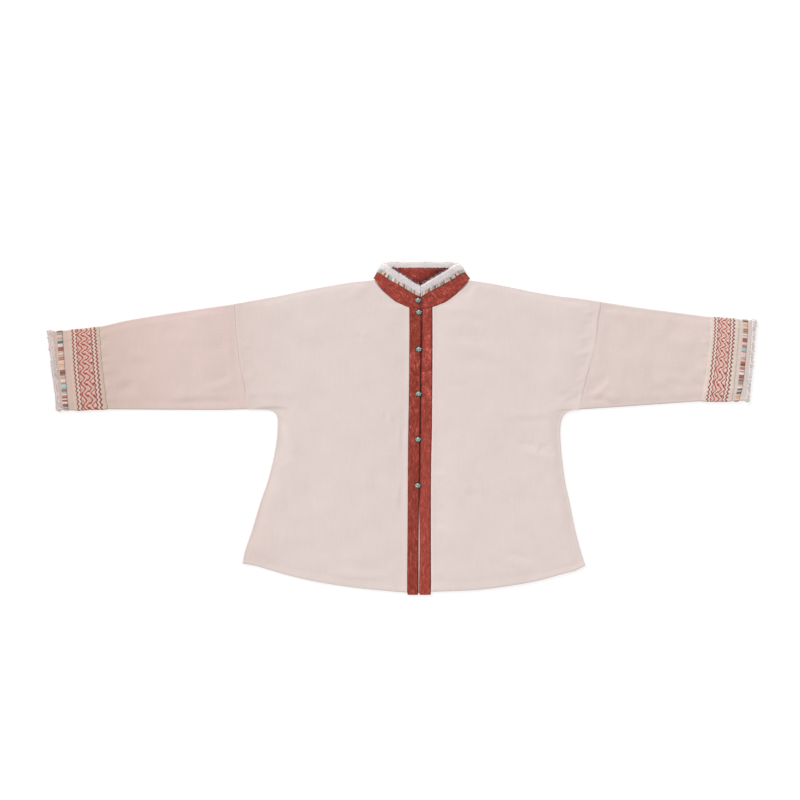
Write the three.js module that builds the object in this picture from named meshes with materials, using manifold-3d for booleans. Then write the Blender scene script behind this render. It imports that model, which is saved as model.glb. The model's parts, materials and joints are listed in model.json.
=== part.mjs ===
// A hip-length woven jacket with a stand collar, laid flat with its front up: two fronts lie on
// the back, the sleeves lie out to the sides, and velvet, ribbon and fur edge the neck and wrists.
// Millimetres. X is across, Y runs from hem to neck, Z is up, and the jacket lies on z = 0 with
// the origin under its middle. Right and left are the wearer's, so right is at -X.
import * as THREE from "three";
import { mergeVertices } from "three/addons/utils/BufferGeometryUtils.js";
import Module from "manifold-3d";

const wasm = await Module();
wasm.setup();

// Cloth
const CLOTH = 2; // wall of the body and the sleeves
const SEAM_GAP = 0.3; // pieces that are sewn together stand this far apart
const FRONT_Z = CLOTH + SEAM_GAP; // underside of the fronts, which lie on the back
const FRONT_LOFT = 1.2; // how far the middle of a front stands up from the back
const HEM_TURN = 12; // width of the turned-up hem
const HEM_STEP = 1.2; // above the turn, where the cloth is back to its own thickness
const HEM_EXTRA = 0.5; // how much thicker the turned-up hem is
const FRONT_COLUMNS = 10;
const BACK_COLUMNS = 20;

// Front bands
const BAND_THICKNESS = 3;
const BAND_ROUND = 1; // how far their long edges and bottom corners are rounded

// Collar, measured from the middle of its velvet strip
const COLLAR_CLOTH = 2.4;
const COLLAR_NECK_Z = COLLAR_CLOTH / 2; // height of the strip at the back neck seam
const COLLAR_TOP_Z = 5; // height of the strip at the back's top edge
const COLLAR_NECK_LAYERS = 3.2; // from the back half up to the front half, at the neck seam
const COLLAR_TOP_LAYERS = 6.3; // the same at the top edge
const COLLAR_FUR_REACH = 4; // past the velvet's top edge
const COLLAR_FUR_COVER = 11.5; // down each side, from the velvet's top edge
const COLLAR_RIBBON_WIDTH = 10.5;
const RIBBON_THICKNESS = 0.8;

// Sleeves and what goes round them
const SLEEVE_HALF = 2.3; // half the height of the flattened sleeve
const SLEEVE_LOFT = 1.4;
const TRIM_THICKNESS = 1;
const TRIM_REACH = SEAM_GAP + TRIM_THICKNESS; // how far a trim stands out from the sleeve
const CUFF_FUR_REACH = 6; // past the sleeve's end
const CUFF_FUR_COVER = 8; // along the sleeve from its end
const CUFF_FUR_PILE = 4;

// Buttons
const BUTTON_RADIUS = 6.4;
const BUTTON_BASE = 1.6;
const PETAL = { reach: 3.6, halfLength: 2.7, halfWidth: 1.8, halfHeight: 1.5 };
const DOME = { radius: 3, squash: 0.8, towardsNeck: 1.3, above: 1 };
const EYE = { radius: 1.1, height: 1, reach: 6.7 };

const cotton = new THREE.MeshStandardMaterial({ color: 0xe1d2cd, roughness: 0.9, metalness: 0 });
const velvet = new THREE.MeshStandardMaterial({ color: 0xa44a3e, roughness: 0.75, metalness: 0 });
const fur = new THREE.MeshStandardMaterial({ color: 0xe7dfde, roughness: 1, metalness: 0 });
const fretRibbon = new THREE.MeshStandardMaterial({ color: 0xd9a79c, roughness: 0.8, metalness: 0 });
const barRibbon = new THREE.MeshStandardMaterial({ color: 0xb08d80, roughness: 0.6, metalness: 0 });
const enamel = new THREE.MeshStandardMaterial({ color: 0x6fbfbd, roughness: 0.35, metalness: 0.3 });

const jacket = new THREE.Group();

function addPiece(name, geometry, material) {
  const mesh = new THREE.Mesh(geometry, material);
  mesh.name = name;
  jacket.add(mesh);
  return mesh;
}

// Reads one column of a table, `at` rows from its first row, on a smooth curve that never swings
// past the table's own values.
function read(rows, column, at) {
  const last = rows.length - 1;
  const row = Math.min(Math.floor(at), last - 1);
  const rise = (i) => {
    const from = Math.min(Math.max(i, 0), last - 1);
    return rows[from + 1][column] - rows[from][column];
  };
  const slope = (i) => {
    const before = rise(i - 1);
    const after = rise(i);
    return before * after <= 0 ? 0 : (2 * before * after) / (before + after);
  };
  const t = at - row;
  const start = rows[row][column];
  const end = rows[row + 1][column];
  const eased = t * t * (3 - 2 * t);
  return (
    start +
    (end - start) * eased +
    slope(row) * t * (1 - t) ** 2 -
    slope(row + 1) * t * t * (1 - t)
  );
}

// The same, but on straight lines from row to row.
function readStraight(rows, column, at) {
  const row = Math.min(Math.floor(at), rows.length - 2);
  return THREE.MathUtils.lerp(rows[row][column], rows[row + 1][column], at - row);
}

// The row, whole or part, at which a column that only rises or only falls has a value.
function findRow(rows, column, value) {
  const falling = rows[0][column] > rows[1][column];
  let row = 0;
  const passed = (i) => (falling ? rows[i][column] > value : rows[i][column] < value);
  while (row < rows.length - 2 && passed(row + 1)) row += 1;
  const start = rows[row][column];
  const part = (value - start) / (rows[row + 1][column] - start);
  return row + Math.min(Math.max(part, 0), 1);
}

function point(rows, at, x = "x", y = "y") {
  return new THREE.Vector2(read(rows, x, at), read(rows, y, at));
}

// A point of a flat piece that is cut by four edges. `across` runs along the low and high edges,
// `up` along the start and end edges, both from 0 to 1, and each edge is a function of its own run.
function cutPoint(edges, across, up) {
  const along = edges.low(across).multiplyScalar(1 - up).addScaledVector(edges.high(across), up);
  const beside = edges.start(up).multiplyScalar(1 - across).addScaledVector(edges.end(up), across);
  const corners = edges.low(0).multiplyScalar((1 - across) * (1 - up));
  corners.addScaledVector(edges.low(1), across * (1 - up));
  corners.addScaledVector(edges.high(0), (1 - across) * up);
  corners.addScaledVector(edges.high(1), across * up);
  return along.add(beside).sub(corners);
}

// 0 at both ends of a run, rising to 1 within `rim` of each.
function swell(t, rim) {
  return THREE.MathUtils.smoothstep(t, 0, rim) * THREE.MathUtils.smoothstep(1 - t, 0, rim);
}

// A closed skin through a row of rings. It joins its last ring to its first, or it is closed at
// each end by a strip between the ring's two halves.
function skin(rings, joined) {
  const size = rings[0].length;
  const count = rings.length;
  const index = [];
  const quad = (a, b, c, d) => index.push(a, b, c, a, c, d);
  for (let i = 0; i < (joined ? count : count - 1); i += 1) {
    const next = (i + 1) % count;
    for (let j = 0; j < size; j += 1) {
      const beside = (j + 1) % size;
      quad(i * size + j, i * size + beside, next * size + beside, next * size + j);
    }
  }
  if (!joined) {
    const end = (count - 1) * size;
    for (let j = 0; j < size / 2 - 1; j += 1) {
      const back = size - 1 - j;
      quad(j, back, back - 1, j + 1);
      quad(end + j, end + j + 1, end + back - 1, end + back);
    }
  }
  const points = rings.flat();
  let volume = 0;
  for (let i = 0; i < index.length; i += 3) {
    const [a, b, c] = [points[index[i]], points[index[i + 1]], points[index[i + 2]]];
    volume += a.dot(b.clone().cross(c));
  }
  if (volume < 0) index.reverse();
  const geometry = new THREE.BufferGeometry().setFromPoints(points);
  geometry.setIndex(index);
  geometry.computeVertexNormals();
  return geometry;
}

// Front bands: the edges of both strips, from the bottom to the neck
const BANDS = [
  { y: -350, rightOuter: 11.2, rightInner: 34.2, leftInner: 36.2, leftOuter: 60.6 },
  { y: -250, rightOuter: 12.2, rightInner: 34.1, leftInner: 37.9, leftOuter: 60 },
  { y: -150, rightOuter: 12.8, rightInner: 35.7, leftInner: 36.7, leftOuter: 60 },
  { y: -80, rightOuter: 13, rightInner: 36.6, leftInner: 37.4, leftOuter: 60.4 },
  { y: 0, rightOuter: 14, rightInner: 38.2, leftInner: 39, leftOuter: 62.2 },
  { y: 80, rightOuter: 15.4, rightInner: 39.4, leftInner: 40.2, leftOuter: 62.9 },
  { y: 200, rightOuter: 16.3, rightInner: 40.3, leftInner: 41.1, leftOuter: 63.4 },
  { y: 250, rightOuter: 16, rightInner: 40.3, leftInner: 41.1, leftOuter: 63.2 },
];

function bandEdge(edge, y) {
  return read(BANDS, edge, findRow(BANDS, "y", y));
}

// Fronts: the outer edge goes from the hem up the side, round the underarm and up the armhole.
// The inner edge goes up beside the band, which gives its place across, and then round the neck.
const FRONTS = {
  right: {
    rows: [
      { outerX: -335, outerY: -284, innerY: -345.2 },
      { outerX: -331, outerY: -262, innerY: -300 },
      { outerX: -315, outerY: -214, innerY: -240 },
      { outerX: -296, outerY: -151, innerY: -165 },
      { outerX: -281.4, outerY: -109, innerY: -115 },
      { outerX: -266.7, outerY: -46, innerY: -50 },
      { outerX: -262, outerY: -10, innerY: -5 },
      { outerX: -261.4, outerY: 14, innerY: 20 },
      { outerX: -264, outerY: 27, innerY: 35 },
      { outerX: -270, outerY: 35, innerY: 48 },
      { outerX: -284, outerY: 38, innerY: 54 },
      { outerX: -324.4, outerY: 39.5, innerY: 60 },
      { outerX: -329, outerY: 84, innerY: 110 },
      { outerX: -337, outerY: 120, innerY: 160 },
      { outerX: -342.3, outerY: 153.3, innerY: 207 },
      { outerX: -345.5, outerY: 180, innerY: 252.2 },
      { outerX: -347.5, outerY: 204, innerX: -11.3, innerY: 264.1 },
      { outerX: -349, outerY: 226, innerX: -32, innerY: 280 },
      { outerX: -350, outerY: 245, innerX: -50, innerY: 298 },
      { outerX: -350.7, outerY: 260.4, innerX: -58, innerY: 310.3 },
    ],
    hem: [
      { x: -335, y: -284 },
      { x: -309, y: -288.5 },
      { x: -278, y: -297.5 },
      { x: -231, y: -310.8 },
      { x: -170, y: -324 },
      { x: -88, y: -336 },
      { x: 10.2, y: -345.2 },
    ],
    shoulder: [
      { x: -350.7, y: 260.4 },
      { x: -300, y: 269.5 },
      { x: -252, y: 278.2 },
      { x: -204, y: 288.4 },
      { x: -155, y: 297.5 },
      { x: -106, y: 305.6 },
      { x: -58, y: 310.3 },
    ],
  },
  left: {
    rows: [
      { outerX: 384.5, outerY: -288, innerY: -343.6 },
      { outerX: 378, outerY: -268, innerY: -300 },
      { outerX: 363.3, outerY: -214, innerY: -240 },
      { outerX: 350.5, outerY: -151, innerY: -165 },
      { outerX: 341.5, outerY: -109, innerY: -115 },
      { outerX: 333.9, outerY: -46, innerY: -50 },
      { outerX: 331.8, outerY: -10, innerY: -5 },
      { outerX: 333.5, outerY: 12, innerY: 20 },
      { outerX: 338, outerY: 24.5, innerY: 35 },
      { outerX: 345, outerY: 32.3, innerY: 48 },
      { outerX: 356, outerY: 36.5, innerY: 54 },
      { outerX: 371.7, outerY: 38.9, innerY: 60 },
      { outerX: 377.5, outerY: 63, innerY: 110 },
      { outerX: 388.1, outerY: 108, innerY: 160 },
      { outerX: 400.5, outerY: 150, innerY: 207 },
      { outerX: 407, outerY: 180, innerY: 253.3 },
      { outerX: 409.5, outerY: 204, innerX: 89.5, innerY: 263.4 },
      { outerX: 411.5, outerY: 226, innerX: 112, innerY: 279 },
      { outerX: 415, outerY: 245, innerX: 134, innerY: 298.5 },
      { outerX: 417.9, outerY: 264.6, innerX: 142, innerY: 309.5 },
    ],
    hem: [
      { x: 384.5, y: -288 },
      { x: 363.3, y: -299.2 },
      { x: 332, y: -307.4 },
      { x: 289.8, y: -319.2 },
      { x: 227, y: -330.8 },
      { x: 150, y: -340 },
      { x: 60.5, y: -343.6 },
    ],
    shoulder: [
      { x: 417.9, y: 264.6 },
      { x: 372, y: 271.6 },
      { x: 326, y: 277 },
      { x: 280, y: 284.6 },
      { x: 234, y: 294 },
      { x: 188, y: 303 },
      { x: 142, y: 309.5 },
    ],
  },
};
const BACK_NECK = [
  { x: -50, y: 308 },
  { x: -25, y: 299 },
  { x: 8, y: 293 },
  { x: 42, y: 291 },
  { x: 76, y: 293 },
  { x: 108, y: 299 },
  { x: 132, y: 307.5 },
];
const ARMHOLE_ROW = 11; // the row of a front at which its armhole starts

for (const side of ["right", "left"]) {
  for (const row of FRONTS[side].rows) {
    if (row.innerX === undefined) {
      const gap = side === "right" ? -SEAM_GAP : SEAM_GAP;
      row.innerX = bandEdge(side + "Outer", row.innerY) + gap;
    }
  }
  // The hem and the shoulder end on the same corners as the inner edge.
  FRONTS[side].hem.at(-1).x = FRONTS[side].rows[0].innerX;
}

function runAlong(rows, x = "x", y = "y") {
  return (t) => point(rows, t * (rows.length - 1), x, y);
}

function frontEdges(side) {
  const { rows, hem, shoulder } = FRONTS[side];
  return {
    low: runAlong(hem),
    high: runAlong(shoulder),
    start: runAlong(rows, "outerX", "outerY"),
    end: runAlong(rows, "innerX", "innerY"),
  };
}

// The places of a panel's rows from hem to shoulder, with two more for the step of the hem's turn.
function panelRows(rows) {
  const last = rows.length - 1;
  const places = rows.map((row, i) => i / last);
  const firstRow = rows[1].outerY - rows[0].outerY;
  const turn = HEM_TURN / firstRow / last;
  places.splice(1, 0, turn, (HEM_TURN + HEM_STEP) / firstRow / last);
  return { places, turn };
}

// A panel's ring of points at one row: over the top from edge to edge, and back underneath.
function panelRing(edges, up, columns, underside, thickness) {
  const over = [];
  const under = [];
  for (let i = 0; i <= columns; i += 1) {
    const across = i / columns;
    const flat = cutPoint(edges, across, up);
    const z = underside(across, up);
    over.push(new THREE.Vector3(flat.x, flat.y, z + thickness));
    under.push(new THREE.Vector3(flat.x, flat.y, z));
  }
  return [...over, ...under.reverse()];
}

function frontGeometry(side) {
  const edges = frontEdges(side);
  const { places, turn } = panelRows(FRONTS[side].rows);
  const underside = (across, up) => FRONT_Z + FRONT_LOFT * swell(across, 0.2) * swell(up, 0.12);
  const rings = places.map((up) => {
    const thickness = CLOTH + (up <= turn ? HEM_EXTRA : 0);
    return panelRing(edges, up, FRONT_COLUMNS, underside, thickness);
  });
  return skin(rings, false);
}

function backGeometry() {
  const { right, left } = FRONTS;
  const middleHem = { x: (right.hem.at(-1).x + left.hem.at(-1).x) / 2, y: -346 };
  const hem = [...right.hem, middleHem, ...left.hem.slice().reverse()];
  const top = [...right.shoulder, ...BACK_NECK, ...left.shoulder.slice().reverse()];
  const edges = {
    low: runAlong(hem),
    high: runAlong(top),
    start: runAlong(right.rows, "outerX", "outerY"),
    end: runAlong(left.rows, "outerX", "outerY"),
  };
  const { places } = panelRows(right.rows);
  return skin(places.map((up) => panelRing(edges, up, BACK_COLUMNS, () => 0, CLOTH)), false);
}

addPiece("back", backGeometry(), cotton);
addPiece("front_right", frontGeometry("right"), cotton);
addPiece("front_left", frontGeometry("left"), cotton);

// A strip of velvet folded double, with soft long edges.
function bandGeometry(side) {
  const places = [-350, -347, -300, -240, -165, -115, -80, -50, -20, 0, 20, 40, 60, 85, 110, 160, 207, 250];
  const top = FRONT_Z + BAND_THICKNESS;
  const rings = places.map((y, i) => {
    const outer = bandEdge(side + "Outer", y);
    const inner = bandEdge(side + "Inner", y);
    const low = Math.min(outer, inner);
    const high = Math.max(outer, inner);
    const corner = i === 0 ? BAND_ROUND : 0;
    return [
      new THREE.Vector3(low + corner, y, top - BAND_ROUND),
      new THREE.Vector3(low + BAND_ROUND, y, top),
      new THREE.Vector3(high - BAND_ROUND, y, top),
      new THREE.Vector3(high - corner, y, top - BAND_ROUND),
      new THREE.Vector3(high - corner, y, FRONT_Z + BAND_ROUND / 2),
      new THREE.Vector3(high - BAND_ROUND, y, FRONT_Z),
      new THREE.Vector3(low + BAND_ROUND, y, FRONT_Z),
      new THREE.Vector3(low + corner, y, FRONT_Z + BAND_ROUND / 2),
    ];
  });
  return skin(rings, false);
}

addPiece("band_right", bandGeometry("right"), velvet);
addPiece("band_left", bandGeometry("left"), velvet);

// Sleeves: the outline from armhole to wrist, `fromEnd` measured from the wrist. The first row's
// places across come from the armhole. `lift` raises the cloth so that the trims under it reach
// the same level as the rest.
const SLEEVES = {
  right: [
    { fromEnd: 395, topY: 260.4, bottomY: 39.5, lift: 0 },
    { fromEnd: 320, topX: -424, topY: 249.9, bottomX: -395, bottomY: 38, lift: 0 },
    { fromEnd: 236, topX: -508, topY: 237.3, bottomX: -481, bottomY: 38.4, lift: 0 },
    { fromEnd: 158, topX: -582, topY: 224.7, bottomX: -561, bottomY: 39, lift: 0.2 },
    { fromEnd: 106, topX: -635, topY: 212.4, bottomX: -615, bottomY: 39.2, lift: 1.3 },
    { fromEnd: 70, topX: -670, topY: 207.6, bottomX: -650.5, bottomY: 38.6, lift: 1.3 },
    { fromEnd: 36, topX: -703, topY: 205, bottomX: -684.5, bottomY: 36.8, lift: 1.3 },
    { fromEnd: 0, topX: -738.5, topY: 202.2, bottomX: -720, bottomY: 38.4, lift: 1.3 },
  ],
  left: [
    { fromEnd: 338, topY: 264.6, bottomY: 38.9, lift: 0 },
    { fromEnd: 255, topX: 492, topY: 253.4, bottomX: 465, bottomY: 45, lift: 0 },
    { fromEnd: 182, topX: 562, topY: 244, bottomX: 540, bottomY: 50.3, lift: 0 },
    { fromEnd: 137, topX: 604, topY: 238.6, bottomX: 588, bottomY: 53.6, lift: 0.2 },
    { fromEnd: 93, topX: 646.5, topY: 233, bottomX: 632, bottomY: 56.2, lift: 1.3 },
    { fromEnd: 62, topX: 677, topY: 230.4, bottomX: 662, bottomY: 55.8, lift: 1.3 },
    { fromEnd: 33, topX: 705.5, topY: 228.2, bottomX: 691, bottomY: 56, lift: 1.3 },
    { fromEnd: 0, topX: 738.5, topY: 225.2, bottomX: 723.5, bottomY: 57.8, lift: 1.3 },
  ],
};
const CUFFS = {
  right: { ribbonFrom: 13.5, ribbonTo: 25.5, bandFrom: 37, bandTo: 104 },
  left: { ribbonFrom: 12.9, ribbonTo: 24.5, bandFrom: 33.7, bandTo: 91.7 },
};

// How far out a sleeve starts at a height on its armhole, a seam's gap from the body.
function armholeX(side, y) {
  const armhole = FRONTS[side].rows.slice(ARMHOLE_ROW);
  const gap = side === "right" ? -SEAM_GAP : SEAM_GAP;
  return readStraight(armhole, "outerX", findRow(armhole, "outerY", y)) + gap;
}

function outermost(a, b) {
  return Math.abs(a) > Math.abs(b) ? a : b;
}

for (const side of ["right", "left"]) {
  const seam = SLEEVES[side][0];
  const { topY, bottomY } = seam;
  seam.topX = outermost(armholeX(side, topY), armholeX(side, topY - SLEEVE_HALF));
  seam.bottomX = outermost(armholeX(side, bottomY), armholeX(side, bottomY + SLEEVE_HALF));
}

// The flat outline of a sleeve, drawn in by half its height so that its folds end on the outline.
function sleeveEdges(side) {
  const rows = SLEEVES[side];
  const armhole = FRONTS[side].rows.slice(ARMHOLE_ROW);
  const drawnIn = (place, t) => {
    place.y += SLEEVE_HALF * (1 - 2 * t);
    return place;
  };
  return {
    low: (t) => {
      const place = drawnIn(point(armhole, t * (armhole.length - 1), "outerX", "outerY"), t);
      place.x = armholeX(side, place.y);
      return place;
    },
    high: (t) => {
      const end = rows.at(-1);
      const x = THREE.MathUtils.lerp(end.bottomX, end.topX, t);
      const y = THREE.MathUtils.lerp(end.bottomY, end.topY, t);
      return drawnIn(new THREE.Vector2(x, y), t);
    },
    start: (s) => drawnIn(point(rows, s * (rows.length - 1), "bottomX", "bottomY"), 0),
    end: (s) => drawnIn(point(rows, s * (rows.length - 1), "topX", "topY"), 1),
  };
}

const SLEEVE_COLUMNS = 8;
const FOLD_STEPS = 4;

// A ring of points round the flattened sleeve, `fromEnd` from the wrist, `out` from its outer face
// and no more than a trim's reach under it. Below zero, `fromEnd` goes on past the wrist.
function sleeveRing(side, fromEnd, out) {
  const rows = SLEEVES[side];
  const edges = sleeveEdges(side);
  const at = findRow(rows, "fromEnd", Math.max(fromEnd, 0));
  const s = at / (rows.length - 1);
  const past = (side === "right" ? 1 : -1) * Math.min(fromEnd, 0);
  const middle = SLEEVE_HALF + read(rows, "lift", at);
  const outUnder = Math.min(out, TRIM_REACH);
  const place = (t, up) => {
    const flat = cutPoint(edges, t, s);
    const loft = up > 0 ? SLEEVE_LOFT * swell(t, 0.4) * swell(s, 0.25) : 0;
    const radius = SLEEVE_HALF + (up > 0 ? out : outUnder);
    return new THREE.Vector3(flat.x + past, flat.y, middle + up * radius + loft);
  };
  const fold = (t, step) => {
    const angle = (Math.PI * step) / FOLD_STEPS;
    const turnUp = t === 1 ? Math.cos(angle) : -Math.cos(angle);
    const reach = THREE.MathUtils.lerp(outUnder, out, (1 + turnUp) / 2);
    const flat = cutPoint(edges, t, s);
    const outward = (t === 1 ? 1 : -1) * Math.sin(angle) * (SLEEVE_HALF + out);
    const z = middle + turnUp * (SLEEVE_HALF + reach);
    return new THREE.Vector3(flat.x + past, flat.y + outward, z);
  };
  const ring = [];
  for (let i = 0; i <= SLEEVE_COLUMNS; i += 1) ring.push(place(i / SLEEVE_COLUMNS, 1));
  for (let i = 1; i < FOLD_STEPS; i += 1) ring.push(fold(1, i));
  for (let i = SLEEVE_COLUMNS; i >= 0; i -= 1) ring.push(place(i / SLEEVE_COLUMNS, -1));
  for (let i = 1; i < FOLD_STEPS; i += 1) ring.push(fold(0, i));
  return ring;
}

function sleeveGeometry(side) {
  const length = SLEEVES[side][0].fromEnd;
  const places = SLEEVES[side].map((row) => row.fromEnd);
  places.splice(1, 0, (length + places[1]) / 2);
  const outer = places.map((fromEnd) => sleeveRing(side, fromEnd, 0));
  const inner = places.map((fromEnd) => sleeveRing(side, fromEnd, -CLOTH));
  return skin([...outer, ...inner.reverse()], true);
}

// Ribbon round a sleeve: a flat hoop from one place to another, just off the sleeve's outer face.
function hoopGeometry(side, from, to) {
  const places = [from, (from + to) / 2, to];
  const outer = places.map((fromEnd) => sleeveRing(side, fromEnd, TRIM_REACH));
  const inner = places.map((fromEnd) => sleeveRing(side, fromEnd, SEAM_GAP));
  return skin([...outer, ...inner.reverse()], true);
}

// Fur round the sleeve end: it lies on the outer face, passes the end and closes in to the
// sleeve's inner face, so that the wrist stays open.
function cuffFurGeometry(side) {
  const section = [
    { fromEnd: CUFF_FUR_COVER, out: SEAM_GAP },
    { fromEnd: CUFF_FUR_COVER + 1, out: CUFF_FUR_PILE * 0.7 },
    { fromEnd: CUFF_FUR_COVER - 3, out: CUFF_FUR_PILE },
    { fromEnd: 0, out: CUFF_FUR_PILE },
    { fromEnd: 2 - CUFF_FUR_REACH, out: CUFF_FUR_PILE * 0.6 },
    { fromEnd: -CUFF_FUR_REACH, out: -CLOTH / 2 },
    { fromEnd: 1 - CUFF_FUR_REACH, out: -CLOTH },
    { fromEnd: -SEAM_GAP, out: -CLOTH },
    { fromEnd: -SEAM_GAP, out: SEAM_GAP },
  ];
  return skin(section.map(({ fromEnd, out }) => sleeveRing(side, fromEnd, out)), true);
}

for (const side of ["right", "left"]) {
  const cuff = CUFFS[side];
  addPiece("sleeve_" + side, sleeveGeometry(side), cotton);
  addPiece("cuff_band_" + side, hoopGeometry(side, cuff.bandFrom, cuff.bandTo), fretRibbon);
  addPiece("cuff_ribbon_" + side, hoopGeometry(side, cuff.ribbonFrom, cuff.ribbonTo), barRibbon);
  addPiece("cuff_fur_" + side, cuffFurGeometry(side), fur);
}

// Collar: one strip from the centre front round the neck and back. Each row joins a place on the
// neck seam to one on the top edge. `turn` is 180 where the strip's outer side is up, on the
// front, 0 where it is down, on the back, and between the two where the strip folds over.
const COLLAR = [
  { neckX: 38.8, neckY: 250.6, topX: 38.8, topY: 294.3, turn: 180 },
  { neckX: 25, neckY: 251.6, topX: 27.5, topY: 300.4, turn: 180 },
  { neckX: 12.7, neckY: 253.9, topX: 17.5, topY: 306.8, turn: 180 },
  { neckX: 0, neckY: 259.2, topX: 8, topY: 312.8, turn: 180 },
  { neckX: -11.1, neckY: 264.8, topX: -1.5, topY: 318.8, turn: 180 },
  { neckX: -31.5, neckY: 280.8, topX: -14, topY: 326.6, turn: 180 },
  { neckX: -43, neckY: 291.8, topX: -22, topY: 331.8, turn: 180 },
  { neckX: -52, neckY: 304, topX: -31, topY: 338.5, turn: 180 },
  { neckX: -56, neckY: 312, topX: -36.5, topY: 342.5, turn: 150 },
  { neckX: -57, neckY: 313.2, topX: -38, topY: 344, turn: 120 },
  { neckX: -57.4, neckY: 313.6, topX: -38.5, topY: 344.6, turn: 90 },
  { neckX: -57, neckY: 313.4, topX: -38, topY: 345.2, turn: 60 },
  { neckX: -56, neckY: 312.4, topX: -36.5, topY: 345.6, turn: 30 },
  { neckX: -50, neckY: 309.5, topX: -30, topY: 346, turn: 0 },
  { neckX: -25, neckY: 300, topX: -12, topY: 346, turn: 0 },
  { neckX: 8, neckY: 294, topX: 14, topY: 346, turn: 0 },
  { neckX: 42, neckY: 292, topX: 42, topY: 346, turn: 0 },
  { neckX: 76, neckY: 294, topX: 68, topY: 346, turn: 0 },
  { neckX: 108, neckY: 300, topX: 92, topY: 345.8, turn: 0 },
  { neckX: 132, neckY: 308.8, topX: 108, topY: 345, turn: 0 },
  { neckX: 139, neckY: 311.7, topX: 114, topY: 344.2, turn: 30 },
  { neckX: 140, neckY: 312.7, topX: 115.6, topY: 343.6, turn: 60 },
  { neckX: 140.4, neckY: 312.9, topX: 116, topY: 343, turn: 90 },
  { neckX: 140, neckY: 312.5, topX: 115.6, topY: 342.2, turn: 120 },
  { neckX: 139, neckY: 311.4, topX: 114, topY: 341, turn: 150 },
  { neckX: 134, neckY: 303, topX: 107, topY: 336.5, turn: 180 },
  { neckX: 121.2, neckY: 290, topX: 97.5, topY: 329.8, turn: 180 },
  { neckX: 107, neckY: 276.8, topX: 87, topY: 323.6, turn: 180 },
  { neckX: 89.2, neckY: 264.2, topX: 76, topY: 317.2, turn: 180 },
  { neckX: 76, neckY: 258.4, topX: 66, topY: 311.4, turn: 180 },
  { neckX: 63, neckY: 253.9, topX: 57, topY: 306, turn: 180 },
  { neckX: 50, neckY: 251.6, topX: 47.5, topY: 300.4, turn: 180 },
  { neckX: 39.4, neckY: 250.6, topX: 39.4, topY: 294.3, turn: 180 },
];
const COLLAR_MIDDLE_X = 40;

function collarHeight(row) {
  return Math.hypot(row.topX - row.neckX, row.topY - row.neckY);
}

// A point of the collar at one of its rows, `down` from the top edge along the strip and `out`
// from the middle of its velvet towards its outer side.
function collarPoint(row, down, out) {
  const up = 1 - down / collarHeight(row);
  const rise = Math.min(up, 1);
  const back = THREE.MathUtils.lerp(COLLAR_NECK_Z, COLLAR_TOP_Z, rise);
  const radius = THREE.MathUtils.lerp(COLLAR_NECK_LAYERS, COLLAR_TOP_LAYERS, rise) / 2;
  const angle = THREE.MathUtils.degToRad(row.turn);
  const away = row.neckX < COLLAR_MIDDLE_X ? -1 : 1;
  return new THREE.Vector3(
    THREE.MathUtils.lerp(row.neckX, row.topX, up) + away * (radius + out) * Math.sin(angle),
    THREE.MathUtils.lerp(row.neckY, row.topY, up),
    back + radius - (radius + out) * Math.cos(angle),
  );
}

// A strip that follows the collar: `section` gives the [down, out] corners of its cut, over the
// outer side and back inside.
function collarStrip(section) {
  const rings = COLLAR.map((row) => section(row).map(([down, out]) => collarPoint(row, down, out)));
  return skin(rings, false);
}

const VELVET_OUT = COLLAR_CLOTH / 2;
const ribbonFrom = COLLAR_FUR_COVER + SEAM_GAP;
const ribbonTo = ribbonFrom + COLLAR_RIBBON_WIDTH;
const collarVelvet = (row) => [
  [0, VELVET_OUT],
  [COLLAR_FUR_COVER, VELVET_OUT],
  [ribbonTo, VELVET_OUT],
  [collarHeight(row), VELVET_OUT],
  [collarHeight(row), -VELVET_OUT],
  [ribbonTo, -VELVET_OUT],
  [COLLAR_FUR_COVER, -VELVET_OUT],
  [0, -VELVET_OUT],
];
const collarRibbon = () => [
  [ribbonFrom, VELVET_OUT + SEAM_GAP + RIBBON_THICKNESS],
  [ribbonTo, VELVET_OUT + SEAM_GAP + RIBBON_THICKNESS],
  [ribbonTo, VELVET_OUT + SEAM_GAP],
  [ribbonFrom, VELVET_OUT + SEAM_GAP],
];
const FUR_FACE = VELVET_OUT + SEAM_GAP;
const collarFur = () => [
  [-SEAM_GAP, FUR_FACE],
  [COLLAR_FUR_COVER, FUR_FACE],
  [COLLAR_FUR_COVER, 3.8],
  [COLLAR_FUR_COVER / 2, 4.4],
  [-1.5, 4.8],
  [-COLLAR_FUR_REACH, 1.5],
  [-COLLAR_FUR_REACH, -1.2],
  [-1.5, -3],
  [COLLAR_FUR_COVER / 2, -3],
  [COLLAR_FUR_COVER, -2.6],
  [COLLAR_FUR_COVER, -FUR_FACE],
  [-SEAM_GAP, -FUR_FACE],
];

addPiece("collar", collarStrip(collarVelvet), velvet);
addPiece("collar_ribbon", collarStrip(collarRibbon), barRibbon);
addPiece("collar_fur", collarStrip(collarFur), fur);

// Buttons: a round base with an eye at each side, a fan of five petals and a domed centre.
const BUTTONS = [
  { x: 33.6, y: 268.8 },
  { x: 35.3, y: 243.6 },
  { x: 35.3, y: 165.9 },
  { x: 34.7, y: 72.5 },
  { x: 33.6, y: -23.1 },
  { x: 33, y: -119.7 },
];
const PETAL_ANGLES = [-180, -135, -90, -45, 0];

function manifoldOf(geometry) {
  geometry.deleteAttribute("normal");
  geometry.deleteAttribute("uv");
  const merged = mergeVertices(geometry, 1e-4);
  return new wasm.Manifold(
    new wasm.Mesh({
      numProp: 3,
      vertProperties: merged.attributes.position.array,
      triVerts: new Uint32Array(merged.index.array),
    }),
  );
}

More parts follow.
